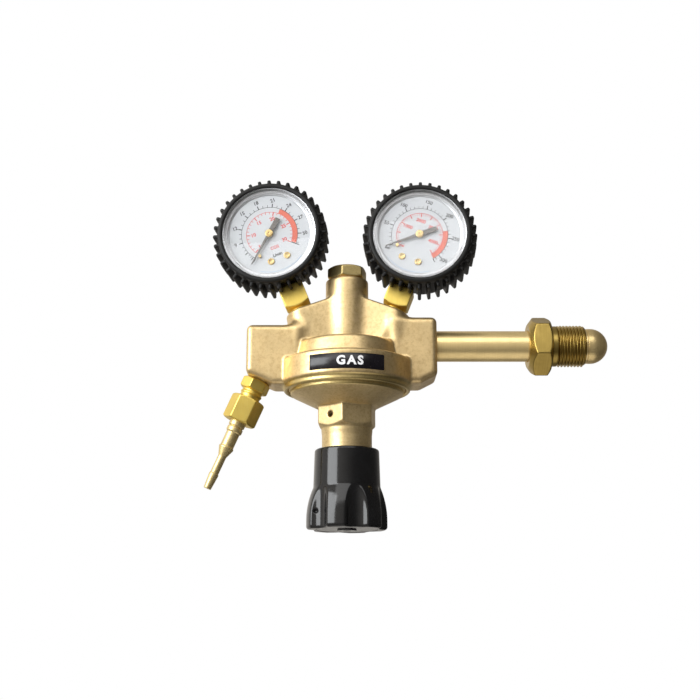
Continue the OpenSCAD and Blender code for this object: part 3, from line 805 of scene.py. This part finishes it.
def body_field(p):
    f = rod(p, BOSS_R, 0, BOSS_TOP, 1.1)
    for gauge, side in (("flow", -1), ("cylinder", 1)):
        f = smooth_min(f, web_field(p, PORTS[gauge], side), 2.6)
    ring = lathe_field(p, [
        (0, BORE_TOP), (RING_FOOT_R + 0.3, BORE_TOP), (RING_FOOT_R, FLANGE_TOP), (RING_R, RING_TOP - 0.9),
        (RING_R - 1.2, RING_TOP), (0, RING_TOP)])
    f = smooth_min(f, arms_field(p), 6.0)
    f = smooth_min(f, ring, 1.6)
    f = smooth_min(f, flange_field(p), 1.2)
    return np.maximum(f, -body_bores(p))


forging = piece("forging", solid(body_field, (-57, -38.5, -28), (51.5, 38.5, 39.5), 0.5, 2), MAIN,
                "forging_brass", "root", ["body_forging"])
paint(forging, "machined_brass",
      lambda c: (c[:, 2] < STEP_Z + 0.6) & (np.hypot(c[:, 0] - AXIS_X / MM, c[:, 1]) < FLANGE_R - 0.3))


def plug_field(p):
    seal_top = BOSS_TOP + SEAL_T
    head = hex_bar(p, PLUG_AF, PLUG_TURN, seal_top, seal_top + PLUG_HEX, 9.75, 9.3, 32)
    shank = rod(p, PLUG_R, PLUG_FOOT, seal_top + 1)
    guide_hole = rod(p, 2.05, PLUG_FOOT - 2, PLUG_FOOT + 7)
    return np.maximum(np.minimum(head, shank), -guide_hole)


piece("top_hex_plug", round_solid(plug_field, 12.5, 22.5, 46.5, 0.33), MAIN,
      "machined_brass", "root", ["top_plug"])

SEAL = [
    (PLUG_R + 0.1, BOSS_TOP), (SEAL_R - 0.1, BOSS_TOP), (SEAL_R, BOSS_TOP + 0.1),
    (SEAL_R, BOSS_TOP + SEAL_T - 0.1), (SEAL_R - 0.1, BOSS_TOP + SEAL_T),
    (PLUG_R + 0.1, BOSS_TOP + SEAL_T)]
piece("plug_seal_ring", closed_lathe(SEAL), MAIN, "copper_seal", "root", ["plug_seal"], 35)


# ---------------- bonnet

def bonnet_field(p):
    x, y, z = p
    f = lathe_field(p, [
        (0, BONNET_TOP), (BONNET_R, BONNET_TOP), (BONNET_R, -25.2), (31.1, -25.5), (LIP_R, -27.4),
        (30.6, LIP_Z), (CONE_FOOT_R, -34.6), (COLLAR_R, -35), (COLLAR_R, -48), (NECK_R, -50.5),
        (NECK_R, NECK_BOTTOM), (0, NECK_BOTTOM)])
    wrench_hex = hex_bar(p, BONNET_AF, BONNET_TURN, BONNET_HEX_LOW, BONNET_HEX_TOP, 14.3, None, 38)
    f = smooth_min(f, wrench_hex, 0.8)
    cavity = lathe_field(p, [
        (0, -13), (27, -13), (27, -18), (SPRING_ROOM_R, -31), (SPRING_ROOM_R, -57), (0, -57)])
    a = math.radians(VENT_TURN)
    u = x * math.cos(a) + y * math.sin(a)
    v = y * math.cos(a) - x * math.sin(a)
    vent = np.maximum(np.hypot(v, z - VENT_Z) - VENT_R, np.abs(u - 14) - 6)
    screw_hole = rod(p, SCREW_HOLE_R, -70, -55)
    return np.maximum(f, -union(cavity, vent, screw_hole))


bonnet = piece("bonnet_shell", round_solid(bonnet_field, 34, -68, -13, 0.4), MAIN,
               "bonnet_brass", "root", ["bonnet"])
paint(bonnet, "machined_brass", lambda c: c[:, 2] > LIP_Z + 0.1)


# ---------------- knob

def flare(z):
    """Radius of the flared part, an arc that runs out upright at its foot."""
    drop, out = FLARE_FOOT - FLARE_TOP, LOBE_R - SKIRT_FOOT_R
    arc = (drop * drop + out * out) / (2 * out)
    rise = max(0.0, z - FLARE_FOOT)
    return LOBE_R - (arc - math.sqrt(arc * arc - rise * rise))


def knob_field(p):
    x, y, z = p
    levels = [FLARE_TOP + (FLARE_FOOT - FLARE_TOP) * i / 8 for i in range(1, 9)]
    f = lathe_field(p, [(0, KNOB_TOP), (KNOB_R - 0.7, KNOB_TOP), (KNOB_R, KNOB_TOP - 0.7),
                        (SKIRT_FOOT_R, FLARE_TOP)]
                    + [(flare(level), level) for level in levels]
                    + [(LOBE_R, KNOB_BOTTOM + 1.0), (LOBE_R - 1.0, KNOB_BOTTOM), (0, KNOB_BOTTOM)])
    flute_out = SKIRT_FOOT_R - FLUTE_DEPTH + FLUTE_R
    for i in range(LOBE_COUNT):
        a = math.radians(-90 + LOBE_TURN + 360 / LOBE_COUNT * i)
        flute = np.hypot(x - flute_out * math.cos(a), y - flute_out * math.sin(a)) - FLUTE_R
        f = smooth_max(f, -np.maximum(flute, z - FLARE_TOP + 0.5), 0.9)
    neck_room = rod(p, KNOB_BORE_R, -76, KNOB_TOP + PAST)
    insert_hole = rod(p, INSERT_R, -86, -75)
    end_plate_seat = rod(p, END_PLATE_R, KNOB_BOTTOM - PAST, -84)
    pip = np.sqrt((x - PIP[0]) ** 2 + (y - PIP[1]) ** 2 + (z - PIP[2]) ** 2) - PIP_R
    return np.maximum(f, -union(neck_room, insert_hole, end_plate_seat, pip))


piece("adjusting_knob", round_solid(knob_field, 23.5, -103, -56, 0.4, 2), MAIN,
      "knob_plastic", "knob", ["knob"])


# ---------------- inlet

THREAD_START = THREAD_MID - THREAD_LEN / 2
THREAD_END = THREAD_MID + THREAD_LEN / 2
NUT_START = THREAD_START - NUT_COLLAR - NUT_HEX
HEX_END = NUT_START + NUT_HEX
SHOULDER_X = THREAD_END + 0.1
NOSE_X = SHOULDER_X + 3.3


def nut_field(p):
    near = hex_bar(p, NUT_AF, NUT_TURN, NUT_START, HEX_END, 12.0, None, 36)
    far = hex_bar(p, NUT_AF, NUT_TURN, NUT_START, HEX_END, None, 14.0, 33)
    collar = rod(p, THREAD_R - 0.25, HEX_END - 2, THREAD_START + 0.3)
    bore = rod(p, NUT_BORE_R, NUT_START - PAST, THREAD_END + PAST)
    return np.maximum(np.minimum(np.maximum(near, far), collar), -bore)


piece("inlet_hex_nut", round_solid(nut_field, 18, NUT_START - 1, THREAD_START + 1, 0.35),
      INLET, "nut_brass", "inlet_nut", ["inlet_nut"])


def thread_shape(rows_per_pitch=14, sides=120):
    """Tube with a helical outer thread, whose ends run down to the root."""
    rows = int(THREAD_LEN / PITCH * rows_per_pitch)
    points = []
    for k in range(rows + 1):
        z = THREAD_START + THREAD_LEN * k / rows
        near_end = min(1.0, THREAD_END - z, 0.45 + (z - THREAD_START) / 1.4)
        for i in range(sides):
            a = 2 * math.pi * i / sides
            turn = (z / PITCH - i / sides) % 1.0
            tooth = 1 - abs(2 * turn - 1)
            height = 0.5 - 0.5 * math.cos(math.pi * min(1, max(0, 1.35 * tooth - 0.175)))
            r = THREAD_R - THREAD_DEPTH + THREAD_DEPTH * min(height, 0.15 + 0.85 * near_end)
            points.append((r * math.cos(a), r * math.sin(a), z))
    points += circle(NUT_BORE_R, THREAD_END, sides) + circle(NUT_BORE_R, THREAD_START, sides)
    return points, strips(loop(rows + 3), sides)


piece("inlet_thread", thread_shape(), INLET, "nut_brass", "inlet_nut", (), 50)

stem_profile = rounded([
    (0, INLET_ARM - 12), (7.4, INLET_ARM - 12), (7.4, INLET_ARM + 0.1), (STEM_R, INLET_ARM + 0.1),
    (STEM_R, SHOULDER_X), (NOSE_R, SHOULDER_X), (NOSE_R, SHOULDER_X + 0.9),
    (NOSE_R - 0.22, SHOULDER_X + 1.0), (NOSE_R - 0.22, SHOULDER_X + 1.3),
    (NOSE_R, SHOULDER_X + 1.4)], 0.25)
stem_profile += arc_points(0, NOSE_X, NOSE_R, 0, 76.5, 20)
stem_profile += [(NOSE_BORE_R, NOSE_X + NOSE_R - 0.5), (NOSE_BORE_R, NOSE_X), (0, NOSE_X)]
piece("inlet_tube", lathe(stem_profile, 128), INLET, "tube_brass", "root", ["inlet_stem"], 30)


# ---------------- outlet

def adaptor_field(p):
    wrench_hex = hex_bar(p, ADAPTOR_AF, ADAPTOR_TURN, 0.05, ADAPTOR_HEX, 6.7, 6.7, 32)
    arm_thread = rod(p, 4.8, -9, 2)
    waist = rod(p, 5.6, 4, NUT_FROM + 1, 0.3)
    bead = rod(p, 6.1, ADAPTOR_HEX + 1.4, ADAPTOR_HEX + 2.6, 0.4)
    nut_thread = rod(p, 6, NUT_FROM + 0.5, 18)
    bore = rod(p, ADAPTOR_BORE_R, -12, 20)
    return np.maximum(union(wrench_hex, arm_thread, waist, bead, nut_thread), -bore)


piece("outlet_hex_adaptor", round_solid(adaptor_field, 9, -10, 19, 0.3), OUTLET,
      "fitting_brass", "root", ["outlet_adaptor"])


def outlet_nut_field(p):
    f = hex_bar(p, OUTLET_NUT_AF, OUTLET_NUT_TURN, NUT_FROM, NUT_TO, 8.15, 8.15, 30)
    thread_bore = rod(p, 6.05, NUT_FROM - 2, 21)
    tail_bore = rod(p, 4.6, 20, NUT_TO + 2)
    return np.maximum(f, -np.minimum(thread_bore, tail_bore))


piece("outlet_hex_nut", round_solid(outlet_nut_field, 10.5, NUT_FROM - 1, NUT_TO + 1, 0.3), OUTLET,
      "fitting_brass", "root", ["outlet_nut"])

TIP = OUTLET_LEN
tail_profile = rounded([
    (0, TAIL_FROM), (5.8, TAIL_FROM), (5.8, 21), (4.5, 21), (4.5, NUT_TO + 2.5), (3.85, NUT_TO + 2.75),
    (3.85, NUT_TO + 3.15), (4.4, NUT_TO + 3.4), (4.4, NUT_TO + 5.7), (3.7, NUT_TO + 6.3),
    (3.7, TIP - 24.9), (4.15, TIP - 24.5), (4.15, TIP - 23.9), (2.3, TIP - 19), (2.3, TIP - 9.0),
    (2.65, TIP - 8.7), (2.65, TIP - 8.1), (2.05, TIP), (1.2, TIP), (1.2, TIP - 12), (0, TIP - 12)], 0.3)
piece("hose_barb_tail", lathe(tail_profile, 72), OUTLET, "tail_brass", "root", ["hose_tail"], 40)


# ---------------- gauges: boot, lens, rim and stem

def boot_field(p):
    x, y, z = p
    shell = lathe_field(p, [
        (0, BOOT_BACK), (BOOT_R - 4, BOOT_BACK), (WAIST_R, BOOT_BACK + 3), (WAIST_R, 14.3),
        (BOOT_R, 16), (BOOT_R, 19.2), (BOOT_R - 0.5, 20.2), (BOOT_R - 1.4, RING_FRONT),
        (LENS_BORE_R, RING_FRONT - 0.3), (0, RING_FRONT - 0.3)])
    sector = 2 * math.pi / RIB_COUNT
    fold = (np.arctan2(y, x) + sector / 2) % sector - sector / 2
    radius = np.hypot(x, y)
    out, side = radius * np.cos(fold), radius * np.sin(fold)
    profile = outline(out, z, [
        (BOOT_R - 3, RIB_BACK), (RIB_R - 0.3, RIB_BACK), (RIB_R, 9), (RIB_R, RIB_FRONT - 0.8),
        (RIB_R - 0.7, RIB_FRONT), (BOOT_R - 3, RIB_FRONT)])
    ribs = np.maximum(profile, np.abs(side) - RIB_HALF + 0.04 * np.clip(out - BOOT_R, 0, 3))
    lens_bore = rod(p, LENS_BORE_R, LENS_BACK - 1, RING_FRONT + PAST)
    case_room = rod(p, CASE_R, -7, LENS_FRONT - 1)
    half = STEM_AF / 2 + 0.3
    stem_hole = cuboid(p, (0, -30, 0), (half, 8, half))
    dish = rod(p, DISH_R, BOOT_BACK - PAST, BOOT_BACK + 0.8)
    return np.maximum(smooth_min(shell, ribs, 0.25), -union(lens_bore, case_room, stem_hole, dish))


BOOT = round_solid(boot_field, 33, -11, 22, 0.4)

LENS = rounded([
    (0, LENS_BACK), (25.85, LENS_BACK), (25.85, LENS_FRONT - 0.2), (25.2, LENS_FRONT + 0.3),
    (24.6, LENS_FRONT + 0.3), (23.6, LENS_FRONT), (0, LENS_FRONT)], 0.15)

# Stepped satin ring that holds the dial, under the lens
RIM = rounded([
    (22.6, DIAL_FACE), (22.6, DIAL_FACE + 0.5), (23.3, DIAL_FACE + 0.7), (23.4, DIAL_FACE + 1.1),
    (24.4, DIAL_FACE + 1.2), (24.5, DIAL_FACE + 1.6), (25.8, DIAL_FACE + 1.6), (25.8, DIAL_FACE),
    (22.6, DIAL_FACE)], 0.06)[:-1]


def stem_field(p, length):
    """Gauge stem, drawn along +z from the pointer's axis to the port."""
    x, y, z = p
    square_from = CASE_R + 1.4
    shoulder = length - 1.9
    square = cuboid(p, (0, 0, (square_from + shoulder) / 2),
                    (STEM_AF / 2, STEM_AF / 2, (shoulder - square_from) / 2))
    slope = math.radians(27)
    cone = (np.hypot(x, y) - 5.9) * math.sin(slope) + (z - shoulder) * math.cos(slope)
    block = cuboid(p, (0, 0.2, 17), (5, 3.8, 7))
    foot = rod(p, 5.3, length - 4, length - 0.05, 0.3)
    case_joint = rod(p, 6, 23, CASE_R + 3)
    port_thread = rod(p, 4.8, length - 1, length + 8.5)
    f = union(np.maximum(square, cone), foot, case_joint, port_thread, block)
    tube_slot = cuboid(p, (-4.75, 0.5, 17), (1.25, 2.7, 0.9))
    return np.maximum(f, -np.minimum(tube_slot, rod(p, STEM_BORE_R, 14, length + 10)))


# ---------------- gauges: print on the dials

PRINT = (DIAL_FACE - 0.02, DIAL_FACE + 0.03)
OUTER_ARC = 15.6
INNER_ARC = 12.8
ARC_HALF = 0.12
MAJOR_W = 0.52
MINOR_W = 0.28
FINE_W = 0.2
SCALE_END = REST + SWEEP


def clock(angle, r):
    """Point on the dial at that clockwise angle from twelve."""
    a = math.radians(angle)
    return r * math.sin(a), r * math.cos(a)


def tick(angle, r0, r1, width):
    out = np.array(clock(angle, 1))
    side = np.array([out[1], -out[0]]) * width / 2
    return slab([out * r0 + side, out * r1 + side, out * r1 - side, out * r0 - side], *PRINT)


def band(r0, r1, start, end):
    """Ring sector between two clockwise angles."""
    steps = max(2, int((end - start) / 3))
    angles = [start + (end - start) * i / steps for i in range(steps + 1)]
    flat = [clock(angle, r0) for angle in angles] + [clock(angle, r1) for angle in angles]
    points = [(*point, z) for z in PRINT for point in flat]
    n = steps + 1
    top = 2 * n
    faces = []
    for i in range(steps):
        faces.append([top + i, top + i + 1, top + n + i + 1, top + n + i])
        faces.append([i, n + i, n + i + 1, i + 1])
        faces.append([i, i + 1, top + i + 1, top + i])
        faces.append([n + i, top + n + i, top + n + i + 1, n + i + 1])
    faces.append([0, top, top + n, n])
    faces.append([n - 1, n + n - 1, top + n + n - 1, top + n - 1])
    return points, faces


def lettering(text, size, x, y, z=PRINT, spacing=1.0, bold=0.075):
    """Text as a thin solid, centred on a point; size is the height of its capitals."""
    curve = bpy.data.curves.new("lettering", "FONT")
    curve.body = text
    curve.size = size / 0.72
    curve.offset = bold
    curve.align_x = "CENTER"
    curve.align_y = "CENTER"
    curve.space_character = spacing
    curve.resolution_u = 3
    curve.extrude = (z[1] - z[0]) / 2
    item = bpy.data.objects.new("lettering", curve)
    mesh = bpy.data.meshes.new_from_object(item)
    points = [(v.co.x + x, v.co.y + y, v.co.z + (z[0] + z[1]) / 2) for v in mesh.vertices]
    faces = [list(f.vertices) for f in mesh.polygons]
    bpy.data.objects.remove(item)
    bpy.data.curves.remove(curve)
    bpy.data.meshes.remove(mesh)
    return points, faces


def scale(arc, limits, values, major, angle_of, ticks, numbers, number_r, number_size=2.05,
          minor_w=MINOR_W):
    """Arc, ticks and numbers; ticks are (long, short), and negative ones point inwards."""
    shapes = [band(arc - ARC_HALF, arc + ARC_HALF, *limits)]
    for value in values:
        angle = angle_of(value)
        longer = value % major == 0
        ends = sorted((arc, arc + (ticks[0] if longer else ticks[1])))
        shapes.append(tick(angle, *ends, MAJOR_W if longer else minor_w))
        if value in numbers:
            shapes.append(lettering(str(value), number_size, *clock(angle, number_r)))
    return shapes


def flow_angle(value):
    """Flow scale: even from 9 upwards, closed up towards its zero."""
    if value >= 9:
        return 273.5 + (value - 9) * 9.38
    return REST + 43.5 * (value / 9) ** 1.9


def second_flow_angle(value):
    return 237 + (value - 5) * 10.22


def flow_marks():
    black = scale(OUTER_ARC, (REST, SCALE_END + 0.5), range(33), 3, flow_angle, (2.1, 1.3),
                  range(9, 31, 3), 19.6)
    black.append(tick(SCALE_END + 0.5, OUTER_ARC - 2.6, OUTER_ARC + 2.1, MAJOR_W))
    black.append(lettering("L/min", 1.7, *clock(180, 12.6)))
    red = scale(INNER_ARC, (236, SCALE_END - 2), range(5, 31), 5, second_flow_angle, (-2.1, -1.3),
                range(5, 31, 5), 8.9)
    red.append(lettering("CO2", 1.7, *clock(180, 8.2)))
    return black, red, 402.5


def bar_angle(value):
    return REST + value * 0.828


def psi_angle(value):
    return REST + value * 0.0571


def cylinder_marks():
    black = scale(OUTER_ARC, (REST, SCALE_END), range(0, 320, 10), 50, bar_angle, (2.2, 1.4),
                  range(50, 320, 50), 19.8)
    black.append(tick(SCALE_END, OUTER_ARC, OUTER_ARC + 2.2, MAJOR_W))
    black.append(lettering("bar", 1.7, *clock(REST - 3, 19.0)))
    red = scale(INNER_ARC, (REST, SCALE_END - 1), range(0, 4600, 100), 500, psi_angle, (-2.2, -1.4),
                range(1000, 4600, 1000), 8.3, 1.95, FINE_W)
    red.append(lettering("psi", 1.7, *clock(REST - 12, 11.4)))
    return black, red, bar_angle(230)


MARKS = {"flow": flow_marks, "cylinder": cylinder_marks}


def dial_marks(gauge):
    """The dial's print by colour: {colour: [shapes]}."""
    black, red, band_start = MARKS[gauge]()
    return {"black": black, "red": red,
            "band": [band(INNER_ARC + 0.15, OUTER_ARC - 0.1, band_start, SCALE_END - 1)],
            "blue": [band(21.6, 21.75, 146, 214)]}


# ---------------- gauges: pointer, rivets, assembly

POINTER = slab([(20, -0.25), (20, 0.25), (2.6, 0.82), (-2.6, 1.35), (-9.9, 1.35), (-9.9, -1.35),
                (-2.6, -1.35), (2.6, -0.82)], 0, 0.4, 0.08)
CAP = rounded([
    (0, POINTER_Z + 0.4), (2.3, POINTER_Z + 0.4), (2.3, POINTER_Z + 0.9), (1.9, POINTER_Z + 1.2),
    (0.45, POINTER_Z + 1.25), (0.3, POINTER_Z + 1.0), (0, POINTER_Z + 1.0)], 0.2)
RIVET_HEAD = rounded([
    (0, DIAL_FACE), (1.95, DIAL_FACE), (1.95, DIAL_FACE + 0.4), (1.7, DIAL_FACE + 0.7),
    (1.25, DIAL_FACE + 0.7), (1.1, DIAL_FACE + 0.3), (0, DIAL_FACE + 0.3)], 0.15)
RIVET_LEG = slab([point[:2] for point in circle(0.8, 0, 12)], 12.5, DIAL_FACE + 0.1)
RIVET_SPOTS = [clock(180 - 17.3, 15.8), clock(180 + 17.3, 15.8)]


def turned_by(shape, degrees, z):
    """A shape turned about the pointer's axis and lifted to a height."""
    a = math.radians(degrees)
    points, faces = shape
    return [(x * math.cos(a) - y * math.sin(a), x * math.sin(a) + y * math.cos(a), h + z)
            for x, y, h in points], faces


def moved(shape, x, y):
    points, faces = shape
    return [(a + x, b + y, c) for a, b, c in points], faces


for gauge, place in GAUGES.items():
    set_body = gauge + "_pointer_set"
    piece(gauge + "_rubber_boot", BOOT, place, "boot_rubber", "root", [gauge + "_boot"])
    lens = piece(gauge + "_clear_lens", lathe(LENS, 128), place, "lens_plastic", "root", [gauge + "_lens"],
                 30)
    lens.visible_shadow = False
    stem_place = Place(place.origin, place.turn[0], place.turn[2], -place.turn[1])
    length = STEM_LEN[gauge]
    stem = round_solid(lambda p: stem_field(p, length), 9, 8.5, length + 10, 0.33)
    piece(gauge + "_square_stem", stem, stem_place, "fitting_brass", "root", [gauge + "_stem"])
    piece(gauge + "_dial_rim", closed_lathe(RIM, 128), place, "spring_steel", "root", (), 30)
    for color, shapes in dial_marks(gauge).items():
        piece(gauge + "_dial_print_" + color, joined(shapes), place, "dial_" + color, "root", (), 30)
    piece(gauge + "_hand", turned_by(POINTER, 90 - REST, POINTER_Z), place, "pointer_paint", set_body,
          [gauge + "_pointer"], 30)
    piece(gauge + "_hand_cap", lathe(CAP, 48), place, "movement_brass", set_body,
          [gauge + "_pointer_cap"], 50)
    rivets = [moved(shape, *spot) for shape in (lathe(RIVET_HEAD, 40), RIVET_LEG) for spot in RIVET_SPOTS]
    piece(gauge + "_dial_rivets", joined(rivets), place, "movement_brass", "root",
          [gauge + "_dial_screws"], 50)


# ---------------- label

LABEL_HALF = math.radians(32.6)
LABEL_LOW = -20.7
LABEL_HIGH = -12.4
LABEL_SIDE = LABEL_HALF * FLANGE_R
LABEL_CORNER = 0.5


def wrapped(shape, radius):
    """A flat drawing (x across, y up, z out) wrapped on the flange's front."""
    points, faces = shape
    result = []
    for x, y, z in points:
        a = x / radius
        result.append(((radius + z) * math.sin(a), -(radius + z) * math.cos(a), y))
    return result, faces


def sliced(shape, spacing):
    """Cuts a drawing across x, so that it can bend."""
    points, faces = shape
    bm = bmesh.new()
    vertices = [bm.verts.new(p) for p in points]
    for f in faces:
        bm.faces.new([vertices[i] for i in f])
    low, high = min(p[0] for p in points), max(p[0] for p in points)
    cut = low + spacing
    while cut < high:
        bmesh.ops.bisect_plane(bm, geom=bm.verts[:] + bm.edges[:] + bm.faces[:], plane_co=(cut, 0, 0),
                               plane_no=(1, 0, 0))
        cut += spacing
    bm.verts.index_update()
    result = [tuple(v.co) for v in bm.verts], [[v.index for v in f.verts] for f in bm.faces]
    bm.free()
    return result


right, low, high = LABEL_SIDE - LABEL_CORNER, LABEL_LOW + LABEL_CORNER, LABEL_HIGH - LABEL_CORNER
plate_corners = []
for cx, cy, start in ((right, low, -90), (right, high, 0), (-right, high, 90), (-right, low, 180)):
    plate_corners += arc_points(cx, cy, LABEL_CORNER, start, start + 90, 4)
plate_shape = sliced(slab(plate_corners, -0.05, 0.3, 0.08), 1.0)
piece("gas_label", wrapped(plate_shape, FLANGE_R), MAIN, "label_black", "root", ["label_plate"], 50)
words = sliced(lettering("GAS", 4.7, 1.6, (LABEL_LOW + LABEL_HIGH) / 2, (0.28, 0.36), 1.3, 0.26), 1.0)
piece("gas_label_lettering", wrapped(words, FLANGE_R), MAIN, "label_white", "root", (), 50)


# ---------------- stage, light and camera

scene = bpy.context.scene
scene.view_settings.view_transform = "Standard"

FLOOR_DROP = 0.16
FLOOR_R = 0.9
floor_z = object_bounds()[0].z - FLOOR_DROP
floor_mesh = bpy.data.meshes.new("floor")
edge = [(AXIS_X + x, y, z) for x, y, z in circle(FLOOR_R, floor_z, 96)]
floor_mesh.from_pydata(edge, [], [list(range(len(edge)))])
floor = bpy.data.objects.new("floor", floor_mesh)
scene.collection.objects.link(floor)
floor_mesh.materials.append(plastic("floor_paper", (0.86, 0.86, 0.86), (0.8, 0.9), (0.84, 0.84, 0.84)))
floor.visible_glossy = False


def world():
    """White to the camera; for the light, a soft studio that is brighter on the left and behind."""
    studio = bpy.data.worlds.new("studio")
    studio.use_nodes = True
    tree = studio.node_tree
    tree.nodes.clear()
    out = tree.nodes.new("ShaderNodeOutputWorld")
    coordinates = tree.nodes.new("ShaderNodeTexCoord")
    split = tree.nodes.new("ShaderNodeSeparateXYZ")
    tree.links.new(coordinates.outputs["Generated"], split.inputs[0])

    def part(axis, low, high, start, end):
        """Brightness that runs from start to end as the direction's axis goes from low to high."""
        node = tree.nodes.new("ShaderNodeMapRange")
        node.interpolation_type = "SMOOTHSTEP"
        for key, value in (("From Min", low), ("From Max", high), ("To Min", start), ("To Max", end)):
            node.inputs[key].default_value = value
        tree.links.new(split.outputs[axis], node.inputs["Value"])
        return node.outputs["Result"]

    def combined(operation, a, b):
        node = tree.nodes.new("ShaderNodeMath")
        node.operation = operation
        tree.links.new(a, node.inputs[0])
        tree.links.new(b, node.inputs[1])
        return node.outputs[0]

    side = combined("ADD", part("X", -0.7, 0.65, 0.85, 0.10), part("Y", 0.3, 0.9, 0.0, 0.15))
    side = combined("MULTIPLY", side, part("Z", -0.85, 0.25, 0.25, 1.0))
    level = combined("ADD", side, part("Z", -0.8, -0.97, 0.0, 0.7))
    light = tree.nodes.new("ShaderNodeBackground")
    light.inputs["Color"].default_value = (1.0, 0.95, 0.88, 1)
    tree.links.new(level, light.inputs["Strength"])
    white = tree.nodes.new("ShaderNodeBackground")
    white.inputs["Color"].default_value = (1, 1, 1, 1)
    path = tree.nodes.new("ShaderNodeLightPath")
    mix = tree.nodes.new("ShaderNodeMixShader")
    tree.links.new(path.outputs["Is Camera Ray"], mix.inputs["Fac"])
    tree.links.new(light.outputs[0], mix.inputs[1])
    tree.links.new(white.outputs[0], mix.inputs[2])
    tree.links.new(mix.outputs[0], out.inputs["Surface"])
    return studio


scene.world = world()
CENTRE = Vector((AXIS_X, 0, 0))


def softbox(name, azimuth, elevation, distance, width, height, radiance, color=(1, 1, 1)):
    """Rectangular light that faces the regulator; azimuth 0 is in front, positive to the right."""
    a, e = math.radians(azimuth), math.radians(elevation)
    away = Vector((math.sin(a) * math.cos(e), -math.cos(a) * math.cos(e), math.sin(e)))
    data = bpy.data.lights.new(name, "AREA")
    data.shape = "RECTANGLE"
    data.size, data.size_y = width, height
    data.color = color
    data.energy = radiance * math.pi * width * height
    item = bpy.data.objects.new(name, data)
    scene.collection.objects.link(item)
    item.location = CENTRE + away * distance
    item.rotation_mode = "QUATERNION"
    item.rotation_quaternion = away.to_track_quat("Z", "Y")
    item.visible_camera = False


softbox("key_left", -52, 13, 0.8, 0.52, 0.57, 6.2, (0.95, 0.98, 1.0))
softbox("key_high", -4, 38, 0.9, 1.0, 0.5, 1.8)

CAMERA_DISTANCE = 0.64345
CAMERA_PITCH = math.radians(14)
CAMERA_SIDE = 0.001664
CAMERA_RISE = -0.001941
SENSOR_WIDTH_MM = 36
LENS_MM = 59.65714
forward = Vector((0, math.cos(CAMERA_PITCH), math.sin(CAMERA_PITCH)))
upward = Vector((0, -math.sin(CAMERA_PITCH), math.cos(CAMERA_PITCH)))
camera_data = bpy.data.cameras.new("camera")
camera_data.sensor_width = SENSOR_WIDTH_MM
camera_data.lens = LENS_MM
camera = bpy.data.objects.new("camera", camera_data)
scene.collection.objects.link(camera)
camera.location = (CENTRE + Vector((CAMERA_SIDE, 0, 0)) + upward * CAMERA_RISE
                   - forward * CAMERA_DISTANCE)
camera.rotation_mode = "QUATERNION"
camera.rotation_quaternion = forward.to_track_quat("-Z", "Y")
scene.camera = camera
